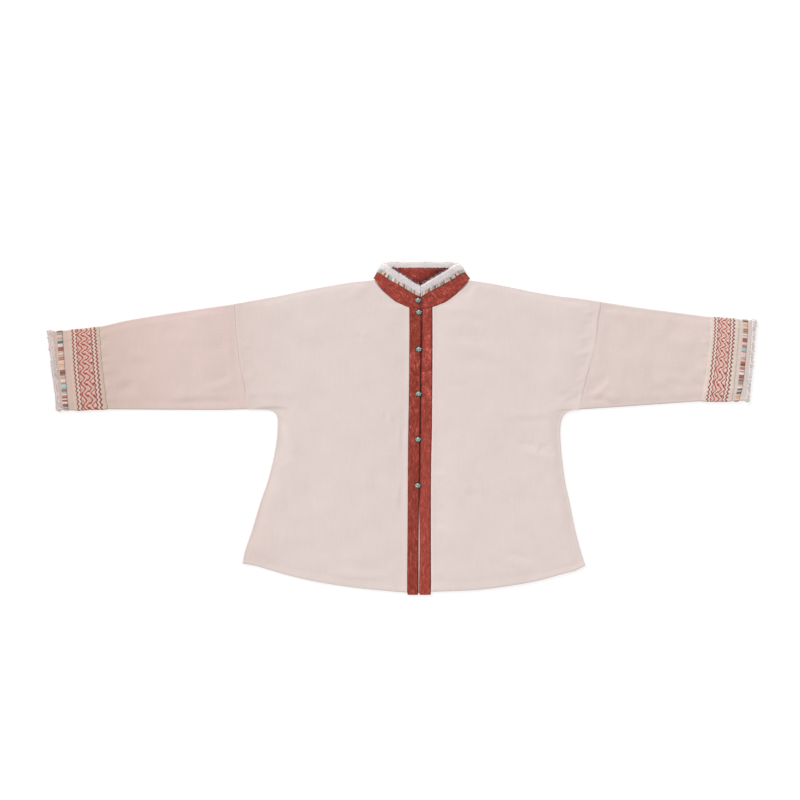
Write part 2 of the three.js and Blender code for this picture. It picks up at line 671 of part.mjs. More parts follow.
function buttonGeometry() {
  const rim = BUTTON_RADIUS - 0.6;
  const base = new THREE.CylinderGeometry(rim, BUTTON_RADIUS, BUTTON_BASE, 16);
  base.rotateX(Math.PI / 2).translate(0, 0, BUTTON_BASE / 2);
  let solid = manifoldOf(base);
  for (const degrees of PETAL_ANGLES) {
    const petal = new THREE.SphereGeometry(1, 6, 5);
    petal.scale(PETAL.halfLength, PETAL.halfWidth, PETAL.halfHeight);
    petal.translate(PETAL.reach, 0, BUTTON_BASE);
    petal.rotateZ(THREE.MathUtils.degToRad(degrees));
    solid = solid.add(manifoldOf(petal));
  }
  const dome = new THREE.SphereGeometry(DOME.radius, 10, 6);
  dome.scale(1, 1, DOME.squash).translate(0, DOME.towardsNeck, BUTTON_BASE + DOME.above);
  solid = solid.add(manifoldOf(dome));
  for (const eyeSide of [-1, 1]) {
    const eye = new THREE.CylinderGeometry(EYE.radius, EYE.radius, EYE.height, 6);
    eye.rotateX(Math.PI / 2).translate(eyeSide * EYE.reach, 0, EYE.height / 2);
    solid = solid.add(manifoldOf(eye));
  }
  const { vertProperties, triVerts } = solid.getMesh();
  const geometry = new THREE.BufferGeometry();
  geometry.setAttribute("position", new THREE.BufferAttribute(vertProperties, 3));
  geometry.setIndex(new THREE.BufferAttribute(triVerts, 1));
  geometry.computeVertexNormals();
  return geometry;
}

BUTTONS.forEach((place, i) => {
  const button = addPiece("button_" + (i + 1), buttonGeometry(), enamel);
  const onCollar = i === 0;
  if (onCollar) {
    // It leans with the collar, just clear of the ribbon.
    const end = COLLAR[0];
    const face = VELVET_OUT + SEAM_GAP + RIBBON_THICKNESS + SEAM_GAP;
    const seat = collarPoint(end, end.topY - place.y, face);
    const above = collarPoint(end, end.topY - place.y - 1, face);
    button.position.set(place.x, place.y, seat.z);
    button.rotation.x = Math.atan2(above.z - seat.z, above.y - seat.y);
  } else {
    button.position.set(place.x, place.y, FRONT_Z + BAND_THICKNESS + SEAM_GAP);
  }
});

export default jacket;
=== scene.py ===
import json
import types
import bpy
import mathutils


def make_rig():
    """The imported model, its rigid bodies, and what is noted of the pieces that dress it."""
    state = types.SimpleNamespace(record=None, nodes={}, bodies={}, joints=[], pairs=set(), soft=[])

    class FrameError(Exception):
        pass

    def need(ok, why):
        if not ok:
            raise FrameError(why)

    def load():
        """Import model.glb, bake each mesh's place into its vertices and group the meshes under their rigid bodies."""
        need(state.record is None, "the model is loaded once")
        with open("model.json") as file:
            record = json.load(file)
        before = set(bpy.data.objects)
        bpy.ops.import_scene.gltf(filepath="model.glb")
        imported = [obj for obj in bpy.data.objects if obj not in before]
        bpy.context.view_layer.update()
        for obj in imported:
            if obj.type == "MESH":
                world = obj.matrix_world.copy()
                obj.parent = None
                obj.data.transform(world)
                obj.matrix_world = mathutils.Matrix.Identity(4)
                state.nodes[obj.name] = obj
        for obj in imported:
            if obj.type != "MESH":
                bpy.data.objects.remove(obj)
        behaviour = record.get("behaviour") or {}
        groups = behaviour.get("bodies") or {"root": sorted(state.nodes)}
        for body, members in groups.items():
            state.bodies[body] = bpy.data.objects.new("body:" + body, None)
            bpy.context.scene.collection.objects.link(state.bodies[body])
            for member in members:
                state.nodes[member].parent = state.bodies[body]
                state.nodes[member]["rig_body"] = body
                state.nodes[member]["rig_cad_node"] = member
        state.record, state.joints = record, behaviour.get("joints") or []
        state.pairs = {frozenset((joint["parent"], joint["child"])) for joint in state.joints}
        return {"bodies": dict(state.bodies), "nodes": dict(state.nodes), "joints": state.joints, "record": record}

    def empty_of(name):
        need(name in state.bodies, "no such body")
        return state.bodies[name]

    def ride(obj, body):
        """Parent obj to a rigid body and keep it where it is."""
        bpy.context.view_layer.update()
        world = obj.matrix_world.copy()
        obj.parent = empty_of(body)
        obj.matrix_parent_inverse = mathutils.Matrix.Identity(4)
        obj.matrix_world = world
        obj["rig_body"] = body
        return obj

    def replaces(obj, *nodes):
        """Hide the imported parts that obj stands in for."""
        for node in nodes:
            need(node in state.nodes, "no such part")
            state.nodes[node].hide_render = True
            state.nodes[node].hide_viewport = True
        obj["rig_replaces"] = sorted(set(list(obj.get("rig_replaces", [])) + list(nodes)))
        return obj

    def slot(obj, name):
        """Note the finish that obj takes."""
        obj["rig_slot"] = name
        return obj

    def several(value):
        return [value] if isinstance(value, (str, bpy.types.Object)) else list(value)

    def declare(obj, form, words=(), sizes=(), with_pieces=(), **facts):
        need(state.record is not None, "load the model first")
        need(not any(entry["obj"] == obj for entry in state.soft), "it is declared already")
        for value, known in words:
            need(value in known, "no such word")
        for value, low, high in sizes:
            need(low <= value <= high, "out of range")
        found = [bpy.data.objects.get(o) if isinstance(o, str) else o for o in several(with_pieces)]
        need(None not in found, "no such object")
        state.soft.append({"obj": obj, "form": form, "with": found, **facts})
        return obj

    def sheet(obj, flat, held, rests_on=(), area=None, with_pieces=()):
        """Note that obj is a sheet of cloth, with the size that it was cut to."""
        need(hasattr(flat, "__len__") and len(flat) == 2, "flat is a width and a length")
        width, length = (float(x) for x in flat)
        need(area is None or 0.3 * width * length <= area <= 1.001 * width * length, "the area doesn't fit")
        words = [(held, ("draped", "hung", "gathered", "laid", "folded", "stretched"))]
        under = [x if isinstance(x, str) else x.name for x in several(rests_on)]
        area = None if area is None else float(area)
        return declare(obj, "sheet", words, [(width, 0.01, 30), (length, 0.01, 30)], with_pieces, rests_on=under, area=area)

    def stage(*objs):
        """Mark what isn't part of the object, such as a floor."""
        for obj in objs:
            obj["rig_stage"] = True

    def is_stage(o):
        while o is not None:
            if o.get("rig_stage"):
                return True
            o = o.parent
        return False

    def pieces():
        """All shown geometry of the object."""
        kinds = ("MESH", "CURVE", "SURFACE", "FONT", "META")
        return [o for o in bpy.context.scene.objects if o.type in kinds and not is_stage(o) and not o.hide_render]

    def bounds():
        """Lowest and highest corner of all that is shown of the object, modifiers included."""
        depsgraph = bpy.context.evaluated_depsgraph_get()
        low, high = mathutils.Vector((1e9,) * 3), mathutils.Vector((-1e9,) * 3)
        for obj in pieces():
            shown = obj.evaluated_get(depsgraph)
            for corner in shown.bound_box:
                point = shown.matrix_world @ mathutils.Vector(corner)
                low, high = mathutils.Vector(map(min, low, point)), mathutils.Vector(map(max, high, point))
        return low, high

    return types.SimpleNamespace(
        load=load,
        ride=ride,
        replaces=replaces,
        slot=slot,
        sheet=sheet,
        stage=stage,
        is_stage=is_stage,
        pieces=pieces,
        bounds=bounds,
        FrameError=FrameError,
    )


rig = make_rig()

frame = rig.load()
cad_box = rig.bounds()

import json
import math

import bpy
import numpy as np

# A woven jacket with velvet, ribbon and fur edges, laid flat with its front up. Tables and sizes
# are in millimetres: X across, Y from hem to neck, Z up. Meshes are made in metres. Right and
# left are the wearer's, so right is at -X.

# Camera, floor and light
# The jacket lies on a white table that glows a little, so that shadows on it stay faint. The
# camera looks straight down on it, with the hem at the bottom of the picture. The light is wide
# and soft, with a lower one from the upper left.
PICTURE_WIDTH = 1.68
PICTURE_MIDDLE = (-0.0042, 0.0588)
LENS = 70
FILM = 36

camera_data = bpy.data.cameras.new("camera")
camera_data.lens = LENS
camera_data.sensor_width = FILM
camera = bpy.data.objects.new("camera", camera_data)
camera.location = (*PICTURE_MIDDLE, PICTURE_WIDTH * LENS / FILM)
bpy.context.collection.objects.link(camera)
bpy.context.scene.camera = camera
bpy.context.scene.view_settings.view_transform = "Standard"


def dye(red, green, blue):
    """A colour as it is seen, 0 to 255 a part, as the light that it gives back."""
    parts = (np.array([red, green, blue]) / 255 + 0.055) / 1.055
    return (*(parts**2.4), 1)


class Wire:
    """A socket of a finish. Sums on it add the Math nodes that work them out."""

    def __init__(self, finish, socket):
        self.finish = finish
        self.socket = socket

    def math(self, operation, *values):
        return self.finish.node("ShaderNodeMath", {"operation": operation}, dict(enumerate(values)))

    def __add__(self, other):
        return self.math("ADD", self, other)

    def __radd__(self, other):
        return self.math("ADD", other, self)

    def __sub__(self, other):
        return self.math("SUBTRACT", self, other)

    def __rsub__(self, other):
        return self.math("SUBTRACT", other, self)

    def __mul__(self, other):
        return self.math("MULTIPLY", self, other)

    def __rmul__(self, other):
        return self.math("MULTIPLY", other, self)

    def wave(self, length):
        """Rises and falls between -1 and 1 as this value grows by a length."""
        return self.math("SINE", self * (2 * math.pi / length))

    def between(self, low, high):
        """0 up to a low value and 1 from a high one, with a smooth step between."""
        settings = {"interpolation_type": "SMOOTHSTEP"}
        return self.finish.node("ShaderNodeMapRange", settings, {0: self, 1: low, 2: high})


class Finish:
    """The finish of a piece: its material, the shader in it, and the nodes that feed that. The
    constants are the shader's sockets that stay the same all over, with _ for a space."""

    def __init__(self, name, **constants):
        self.material = bpy.data.materials.new(name)
        self.material.use_nodes = True
        self.tree = self.material.node_tree
        self.shader = self.tree.nodes["Principled BSDF"]
        for socket, value in constants.items():
            self.shader.inputs[socket.replace("_", " ")].default_value = value

    def node(self, kind, settings=None, sockets=None, output=0):
        made = self.tree.nodes.new(kind)
        for setting, value in (settings or {}).items():
            setattr(made, setting, value)
        for socket, value in (sockets or {}).items():
            self.feed(made.inputs[socket], value)
        return Wire(self, made.outputs[output])

    def feed(self, socket, value):
        if isinstance(value, Wire):
            self.tree.links.new(value.socket, socket)
        else:
            socket.default_value = value

    def place(self):
        """Where a point of the piece is, in millimetres."""
        at = self.node("ShaderNodeTexCoord", output=3)
        return self.node("ShaderNodeVectorMath", {"operation": "SCALE"}, {0: at, "Scale": 1000})

    def part(self, vector, axis):
        return self.node("ShaderNodeSeparateXYZ", None, {0: vector}, output=axis)

    def patches(self, place, size, detail=2.0, stretch=(1, 1, 1)):
        """Uneven patches of about a size, 0 to 1. Stretched axes have longer patches."""
        scaled = [1 / (size * part) for part in stretch]
        at = self.node("ShaderNodeVectorMath", {"operation": "MULTIPLY"}, {0: place, 1: scaled})
        return self.node("ShaderNodeTexNoise", None, {"Vector": at, "Scale": 1, "Detail": detail})

    def mix(self, share, first, second, blend="MIX"):
        settings = {"data_type": "RGBA", "blend_type": blend}
        return self.node("ShaderNodeMix", settings, {0: share, 6: first, 7: second}, output=2)

    def shaded(self, colour, amount):
        """A colour made lighter where an amount is above 0 and darker where it is below."""
        grey = self.node("ShaderNodeCombineColor", None, {part: 1 + amount for part in range(3)})
        return self.mix(1, colour, grey, "MULTIPLY")

    def paint(self, colour, height=None, relief=0.1, strength=1.0):
        """Puts a colour on the piece, and a relief of some millimetres where a height is 1."""
        self.feed(self.shader.inputs["Base Color"], colour)
        if height is not None:
            sockets = {"Height": height, "Distance": relief / 1000, "Strength": strength}
            self.feed(self.shader.inputs["Normal"], self.node("ShaderNodeBump", None, sockets))
        return self.material


FLOOR_HALF = 6.0
FLOOR_DROP = 0.0002

floor_mesh = bpy.data.meshes.new("floor")
floor_corners = [(-1, -1), (1, -1), (1, 1), (-1, 1)]
floor_points = [(x * FLOOR_HALF, y * FLOOR_HALF, -FLOOR_DROP) for x, y in floor_corners]
floor_mesh.from_pydata(floor_points, [], [(0, 1, 2, 3)])
floor = bpy.data.objects.new("floor", floor_mesh)
bpy.context.collection.objects.link(floor)
floor_finish = Finish("floor_paper", Roughness=0.95, Emission_Strength=1)
floor_tone = floor_finish.patches(floor_finish.place(), 300)
floor_glow = floor_finish.shaded((0.76, 0.76, 0.76, 1), (floor_tone - 0.5) * 0.006)
floor_finish.feed(floor_finish.shader.inputs["Emission Color"], floor_glow)
floor_mesh.materials.append(floor_finish.paint((0.26, 0.259, 0.258, 1)))
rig.stage(floor)

world = bpy.data.worlds.new("studio")
world.use_nodes = True
world.node_tree.nodes["Background"].inputs["Color"].default_value = (1, 1, 1, 1)
world.node_tree.nodes["Background"].inputs["Strength"].default_value = 0.6
bpy.context.scene.world = world


def add_lamp(name, turn, softness, strength):
    lamp_data = bpy.data.lights.new(name, "SUN")
    lamp_data.angle = math.radians(softness)
    lamp_data.energy = strength
    lamp = bpy.data.objects.new(name, lamp_data)
    lamp.rotation_euler = [math.radians(angle) for angle in turn]
    bpy.context.collection.objects.link(lamp)


add_lamp("key", (-38, -42, 0), 24, 2.2)

# Back and fronts
# The body is woven cotton. Two fronts lie on the back and are seamed to it at the sides and the
# shoulders. The hem is turned up and topstitched. The outlines are the panels' as they lie.
CLOTH = 2.0
SEAM_GAP = 0.3
FRONT_Z = CLOTH + SEAM_GAP
FRONT_LOFT = 1.2
FRONT_PUFF = 1.3
ALLOWANCE_RISE = 0.55
HEM_LOWEST = -346
HEM_TURN = 12.0
HEM_EXTRA = 0.5
HEM_ROLL = 0.7
HEM_GROOVE = 0.35
EDGE_STEPS = np.array([0.4, 1.0, 1.8])  # extra lines of points, where a cloth's edge is rounded
FRONT_STEP = 3.3
BACK_STEP = 9.0
OUTWARDS = {"right": -1, "left": 1}  # the way along X in which each side lies


def table(names, rows):
    return dict(zip(names.split(), np.array(rows, float).T))


def read(values, at):
    """A column's value `at` rows from its first, on a curve that never swings past its values."""
    at = np.clip(np.asarray(at, float), 0, len(values) - 1)
    row = np.minimum(at.astype(int), len(values) - 2)
    rise = np.diff(values)
    before = np.concatenate([rise[:1], rise])
    after = np.concatenate([rise, rise[-1:]])
    same_way = before * after > 0
    slope = np.where(same_way, 2 * before * after / np.where(same_way, before + after, 1), 0)
    t = at - row
    eased = t * t * (3 - 2 * t)
    bend = slope[row] * t * (1 - t) ** 2 - slope[row + 1] * t * t * (1 - t)
    return values[row] + (values[row + 1] - values[row]) * eased + bend


def find_row(values, value):
    """The row, whole or part, at which a column that only rises or only falls has a value."""
    way = 1 if values[-1] > values[0] else -1
    return np.interp(way * np.asarray(value, float), way * values, np.arange(len(values)))


BANDS = table("y right_outer right_inner left_inner left_outer", [
    (-350, 11.2, 34.2, 36.2, 60.6), (-250, 12.2, 34.1, 37.9, 60), (-150, 12.8, 35.7, 36.7, 60),
    (-80, 13, 36.6, 37.4, 60.4), (0, 14, 38.2, 39, 62.2), (80, 15.4, 39.4, 40.2, 62.9),
    (200, 16.3, 40.3, 41.1, 63.4), (250, 16, 40.3, 41.1, 63.2),
])


def band_edge(edge, y):
    return read(BANDS[edge], find_row(BANDS["y"], y))


PANEL_EDGES = {
    "right": table("outer_x outer_y inner_y", [
        (-335, -284, -345.2), (-331, -262, -300), (-315, -214, -240), (-296, -151, -165),
        (-281.4, -109, -115), (-266.7, -46, -50), (-262, -10, -5), (-261.4, 14, 20), (-264, 27, 35),
        (-270, 35, 48), (-284, 38, 54), (-324.4, 39.5, 60), (-329, 84, 110), (-337, 120, 160),
        (-342.3, 153.3, 207), (-345.5, 180, 252.2), (-347.5, 204, 264.1), (-349, 226, 280),
        (-350, 245, 298), (-350.7, 260.4, 310.3),
    ]),
    "left": table("outer_x outer_y inner_y", [
        (384.5, -288, -343.6), (378, -268, -300), (363.3, -214, -240), (350.5, -151, -165),
        (341.5, -109, -115), (333.9, -46, -50), (331.8, -10, -5), (333.5, 12, 20), (338, 24.5, 35),
        (345, 32.3, 48), (356, 36.5, 54), (371.7, 38.9, 60), (377.5, 63, 110), (388.1, 108, 160),
        (400.5, 150, 207), (407, 180, 253.3), (409.5, 204, 263.4), (411.5, 226, 279),
        (415, 245, 298.5), (417.9, 264.6, 309.5),
    ]),
}
ARMHOLE_ROW = 11
# The inner edge runs beside the band, and its last rows go round the neck.
NECK_X = {"right": [-11.3, -32, -50, -58], "left": [89.5, 112, 134, 142]}
for side, edges in PANEL_EDGES.items():
    beside_band = band_edge(side + "_outer", edges["inner_y"]) + OUTWARDS[side] * SEAM_GAP
    edges["inner_x"] = np.append(beside_band[: -len(NECK_X[side])], NECK_X[side])

HEMS = {
    "right": table("x y", [
        (-335, -284), (-309, -288.5), (-278, -297.5), (-231, -310.8), (-170, -324), (-88, -336),
        (PANEL_EDGES["right"]["inner_x"][0], -345.2),
    ]),
    "left": table("x y", [
        (384.5, -288), (363.3, -299.2), (332, -307.4), (289.8, -319.2), (227, -330.8), (150, -340),
        (PANEL_EDGES["left"]["inner_x"][0], -343.6),
    ]),
}
SHOULDERS = {
    "right": table("x y", [
        (-350.7, 260.4), (-300, 269.5), (-252, 278.2), (-204, 288.4), (-155, 297.5), (-106, 305.6),
        (-58, 310.3),
    ]),
    "left": table("x y", [
        (417.9, 264.6), (372, 271.6), (326, 277), (280, 284.6), (234, 294), (188, 303),
        (142, 309.5),
    ]),
}
BACK_NECK = table(
    "x y",
    [(-50, 308), (-25, 299), (8, 293), (42, 291), (76, 293), (108, 299), (132, 307.5)],
)


def run_along(x, y):
    """An edge as a function of how far along it a place is, 0 to 1."""
    last = len(x) - 1
    return lambda t: np.stack([read(x, np.asarray(t) * last), read(y, np.asarray(t) * last)], -1)


def cut_points(cut, across, up):
    """Places on a flat piece that is cut by four edges."""
    a = across[..., None]
    u = up[..., None]
    along = cut["low"](across) * (1 - u) + cut["high"](across) * u
    beside = cut["start"](up) * (1 - a) + cut["end"](up) * a
    corners = cut["low"](0) * (1 - a) * (1 - u) + cut["low"](1) * a * (1 - u)
    corners = corners + cut["high"](0) * (1 - a) * u + cut["high"](1) * a * u
    return along + beside - corners


def even_places(cut, first, second, step):
    """Places between two facing edges, as shares of their runs and as millimetres."""
    fine = np.linspace(0, 1, 500)
    lengths = np.zeros(500)
    for edge in (first, second):
        gaps = np.linalg.norm(np.diff(cut[edge](fine), axis=0), axis=1)
        lengths[1:] += np.cumsum(gaps) / 2
    whole = lengths[-1]
    marks = np.linspace(0, whole, round(whole / step) + 1)
    marks = np.unique(np.concatenate([marks, EDGE_STEPS, whole - EDGE_STEPS]))
    return np.interp(marks, lengths, fine), marks


def swell(t, rim):
    """0 at both ends of a run, rising to 1 within a rim of each."""
    start = np.clip(t / rim, 0, 1)
    end = np.clip((1 - t) / rim, 0, 1)
    return start * start * (3 - 2 * start) * end * end * (3 - 2 * end)


def rounding(distance, radius):
    """How far a rounded edge has fallen at a distance from it."""
    inside = np.clip(1 - distance / radius, 0, 1)
    return radius * (1 - np.sqrt(1 - inside * inside))


def creased(flat, creases):
    """Height of the cloth's creases. Each runs from one place to another, bowed in its middle, and
    fades out to its ends and sides. It is a ridge, or a trough where its rise is below 0."""
    height = np.zeros(flat.shape[:-1])
    for from_x, from_y, to_x, to_y, bow, width, rise in creases:
        run = np.array([to_x - from_x, to_y - from_y], float)
        length = np.linalg.norm(run)
        offset = flat - np.array([from_x, from_y])
        along = np.clip(offset @ run / length**2, 0, 1)
        aside = (offset[..., 1] * run[0] - offset[..., 0] * run[1]) / length
        aside = aside - bow * 4 * along * (1 - along)
        height += rise * np.exp(-((aside / width) ** 2)) * np.sin(np.pi * along) ** 0.7
    return height


def waves(flat, length, height, seed):
    """The slow unevenness of laid cloth: long waves that cross each other."""
    draw = np.random.default_rng(seed)
    total = np.zeros(flat.shape[:-1])
    crossing = 9
    for angle, shift, stretch in draw.uniform(0, 1, (crossing, 3)):
        turned = 2 * math.pi * angle
        heading = np.array([math.cos(turned), math.sin(turned)])
        spacing = length * (0.6 + stretch)
        total += np.sin((flat @ heading) * 2 * math.pi / spacing + 2 * math.pi * shift)
    return height * total / math.sqrt(crossing)


def new_mesh(name, points, faces):
    """A smooth mesh in metres, from points in millimetres."""
    mesh = bpy.data.meshes.new(name)
    mesh.vertices.add(len(points))
    mesh.vertices.foreach_set("co", (points / 1000).ravel())
    mesh.loops.add(faces.size)
    mesh.loops.foreach_set("vertex_index", faces.ravel())
    mesh.polygons.add(len(faces))
    mesh.polygons.foreach_set("loop_start", np.arange(len(faces)) * faces.shape[1])
    mesh.polygons.foreach_set("use_smooth", np.ones(len(faces), bool))
    mesh.update(calc_edges=True)
    return mesh


def lay_piece(name, mesh, finish, slot):
    """Puts a mesh into the scene as a piece that rides on the jacket."""
    mesh.materials.append(finish)
    piece = bpy.data.objects.new(name, mesh)
    bpy.context.collection.objects.link(piece)
    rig.ride(piece, "root")
    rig.slot(piece, slot)
    return piece


def add_piece(name, points, faces, finish, slot):
    """A piece with a closed mesh, whose faces are turned outwards."""
    corners = points[faces]
    middle = np.cross(corners[:, 2] - corners[:, 0], corners[:, -1] - corners[:, 1])
    inside_out = np.sum(corners.mean(axis=1) * middle) < 0
    mesh = new_mesh(name, points, faces[:, ::-1] if inside_out else faces)
    mesh.validate()
    return lay_piece(name, mesh, finish, slot)


def mark_points(piece, name, amounts):
    """Gives each point an amount that the finish reads by its name."""
    layer = piece.data.attributes.new(name, "FLOAT", "POINT")
    layer.data.foreach_set("value", np.asarray(amounts, np.float32).ravel())


def quads(index):
    """The four-cornered faces of a grid of point numbers."""
    grid = [index[:-1, :-1], index[:-1, 1:], index[1:, 1:], index[1:, :-1]]
    return np.stack(grid, -1).reshape(-1, 4)


def going_round(index):
    """A grid of points or their numbers, with its first column again after its last."""
    return np.concatenate([index, index[:, :1]], axis=1)


def panel_faces(rows, columns):
    """Faces of a thin shell between an upper and a lower grid of points."""
    below = rows * columns
    top = np.arange(below).reshape(rows, columns)
    rim = np.concatenate([top[0], top[1:, -1], top[-1, -2::-1], top[-2:0:-1, 0]])
    beyond = np.roll(rim, -1)
    sides = np.stack([rim + below, beyond + below, beyond, rim], -1)
    return np.concatenate([quads(top), quads(top + below)[:, ::-1], sides])


def panel_points(flat, z_top, z_under):
    skins = [np.concatenate([flat, z[..., None]], -1).reshape(-1, 3) for z in (z_top, z_under)]
    return np.concatenate(skins)


def cotton_finish(name, colour, shaded_wrist_colour, way, reach_from, reach_to):
    """Woven cotton with a faint upright slub. Its colour is painted darker towards one wrist, at -X or +X
    as the way says, as shade there, and it has a painted highlight where its turned edge stands up beside a seam."""
    sheen = {"Sheen_Weight": 0.12, "Sheen_Roughness": 0.4}
    cotton = Finish(name, Roughness=0.92, Specular_IOR_Level=0.18, **sheen)
    place = cotton.place()
    x = cotton.part(place, 0)
    y = cotton.part(place, 1)
    edge = cotton.node("ShaderNodeAttribute", {"attribute_name": "edge"}, output=2)
    warp = x.wave(0.9)
    weft = y.wave(0.9)
    slub = cotton.patches(place, 2.0, 3, (1, 22, 1))
    fleck = cotton.patches(place, 2.4, 3, (7, 1, 1))
    cloud = cotton.patches(place, 34, 3)
    fuzz = cotton.patches(place, 2.2, 2)
    lint = cotton.patches(place, 0.5, 2)
    # Painted shade: the colour darkens towards the wrist side.
    wrist_shade_mask = (x * way).between(reach_from, reach_to)
    tone = (slub - 0.5) * 0.08 + (fleck - 0.5) * 0.06 + (cloud - 0.5) * 0.065
    tone = tone + (fuzz - 0.5) * 0.11 + (lint - 0.5) * 0.06 + warp * weft * 0.012
    wrist_shaded = cotton.mix(wrist_shade_mask, colour, shaded_wrist_colour)
    # A painted highlight, paler and pinker, where the edge attribute marks the turned edge standing up beside a seam.
    colour = cotton.shaded(cotton.mix(edge * 0.8, wrist_shaded, dye(248, 224, 219)), tone)
    height = warp * weft * 0.3 + slub * 0.9 + fleck * 0.3 + fuzz * 0.4 + lint * 0.2
    return cotton.paint(colour, height, 0.12, 0.8)


CREASES = {
    # Puckers at the armhole seam, folds under the arm, and the drag beside the band and hem
    "right": [
        (-343, 176, -318, 169, 1, 4.5, 1.0), (-340, 160, -322, 156, 0, 5, -0.7),
        (-340, 146, -316, 140, -1, 4.5, 1.0), (-338, 124, -318, 122, 0, 6, -0.7),
        (-337, 108, -312, 104, 1, 5, 1.1), (-334, 92, -314, 86, 0, 5, -0.8),
        (-332, 77, -306, 68, -1, 4.5, 1.0), (-322, 60, -226, 50, 5, 9, -0.6),
        (-300, 72, -214, 68, 4, 10, 0.6), (-288, 44, -232, 32, 3, 7, -0.5),
        (-276, 36, -238, 14, 2, 5, 0.8), (-262, -4, -244, -72, 4, 12, -1.2),
        (-246, 2, -226, -74, 4, 10, 0.7), (-262, -120, -238, -190, -3, 11, 0.5),
        (-96, 197, -80, 184, 0, 5, -0.8), (-84, 202, -70, 192, 0, 6, 0.6),
        (-40, 30, -30, 12, 0, 5, -0.8), (-28, 32, -20, 16, 0, 5, 0.6), (3, 8, 1, -58, 0, 3.5, -0.8),
        (-6, 10, -8, -60, 0, 4, 0.7), (0, -116, -3, -176, 0, 3.5, -0.8),
        (-8, -114, -11, -178, 0, 4, 0.7), (-146, -284, -18, -294, -4, 14, -0.9),
        (-158, -304, -14, -313, -3, 9, 1.0), (-318, -262, -290, -280, 2, 6, -1.0),
        (-326, -240, -262, -276, 6, 10, 0.7), (-16, -326, 6, -342, 0, 5, -1.1),
        (-34, -318, 0, -338, 2, 6, 0.9), (-230, -250, -170, -262, 5, 16, -0.6),
        (-240, 150, -200, 40, 10, 24, 0.7), (-180, 210, -150, 90, -8, 26, -0.6),
        (-110, 130, -96, -20, 6, 28, 0.6), (-200, -30, -190, -170, 6, 24, -0.6),
        (-130, -90, -140, -230, -6, 26, 0.7), (-60, -60, -50, -200, 4, 22, -0.5),
        (-60, 300, -96, 262, 3, 9, -0.3), (-76, 300, -120, 268, 2, 9, 0.6),
        (-300, 262, -246, 272, 2, 6, -0.9),
    ],
    # The same on the other side, with ripples that start at the band and a forked fold lower down
    "left": [
        (404, 244, 380, 238, -1, 5, 1.0), (402, 218, 380, 216, 0, 5, -0.7),
        (400, 192, 372, 186, -1, 5, 1.0), (398, 174, 376, 170, 1, 5, -0.7),
        (396, 160, 366, 152, 0, 5, 1.0), (390, 132, 368, 128, 0, 5, -0.8),
        (389, 108, 364, 98, 1, 5, 1.1), (382, 86, 358, 74, 1, 5, 0.9),
        (380, 68, 340, 56, 3, 6, -1.2), (356, 72, 322, 70, 2, 6, -0.9),
        (196, 14, 322, 20, -3, 8, -0.5), (214, 28, 316, 32, -3, 9, 0.5),
        (80, 236, 192, 218, 5, 10, -0.5), (76, 218, 190, 200, 5, 10, 0.5),
        (78, 196, 176, 176, 4, 10, -0.45), (76, 176, 196, 154, 6, 10, 0.45),
        (110, 144, 224, 126, 5, 11, -0.6), (90, 120, 200, 104, 5, 11, 0.5),
        (80, 92, 150, 82, 3, 8, -0.6), (246, -30, 284, -42, 2, 7, -1.2),
        (284, -42, 318, -56, 1, 7, -1.2), (286, -40, 316, -34, -1, 6, -0.9),
        (250, -48, 290, -66, 2, 8, 0.9), (134, -132, 162, -146, 0, 11, -1.1),
        (150, -116, 182, -136, 0, 9, 0.6), (67, -78, 84, -92, 0, 4, -0.9),
        (67, -90, 86, -106, 0, 5, 0.8), (68, -138, 86, -152, 0, 4, -0.9),
        (67, -152, 86, -168, 0, 5, 0.8), (67, -192, 86, -208, 0, 4, -0.9),
        (66, -206, 86, -224, 0, 5, 0.8), (66, -282, 86, -298, 0, 4, -0.9),
        (66, -296, 88, -314, 0, 5, 0.8), (222, -262, 276, -280, 3, 8, -1.0),
        (214, -280, 270, -298, 3, 8, 0.7), (336, -250, 372, -286, 4, 8, -0.7),
        (146, 306, 132, 274, -2, 7, -1.0), (158, 300, 150, 268, -2, 7, 0.7),
        (336, 266, 392, 262, 2, 6, -0.9), (330, 254, 398, 250, 2, 8, 0.6),
        (240, 250, 300, 150, 12, 26, -0.6), (300, 180, 330, 90, 6, 24, 0.7),
        (180, 60, 170, -60, 6, 26, 0.6), (250, -100, 270, -220, 8, 26, -0.6),
        (120, -60, 110, -200, -5, 22, 0.6), (320, -100, 336, -220, 4, 20, 0.6),
    ],
}
# Cut sizes: each panel's widest and longest, and the area that is left of that rectangle
FRONT_CUTS = {
    "right": {"flat": (0.364, 0.672), "area": 0.206},
    "left": {"flat": (0.362, 0.670), "area": 0.204},
}
BACK_CUT = {"flat": (0.786, 0.684), "area": 0.436}

# The body's cotton is painted darker towards the right sleeve, as shade there.
body_cotton = cotton_finish("cotton_body", dye(225, 209, 204), dye(220, 203, 197), -1, 225, 335)


def panel_cut(side):
    edges = PANEL_EDGES[side]
    return {
        "low": run_along(HEMS[side]["x"], HEMS[side]["y"]),
        "high": run_along(SHOULDERS[side]["x"], SHOULDERS[side]["y"]),
        "start": run_along(edges["outer_x"], edges["outer_y"]),
        "end": run_along(edges["inner_x"], edges["inner_y"]),
    }


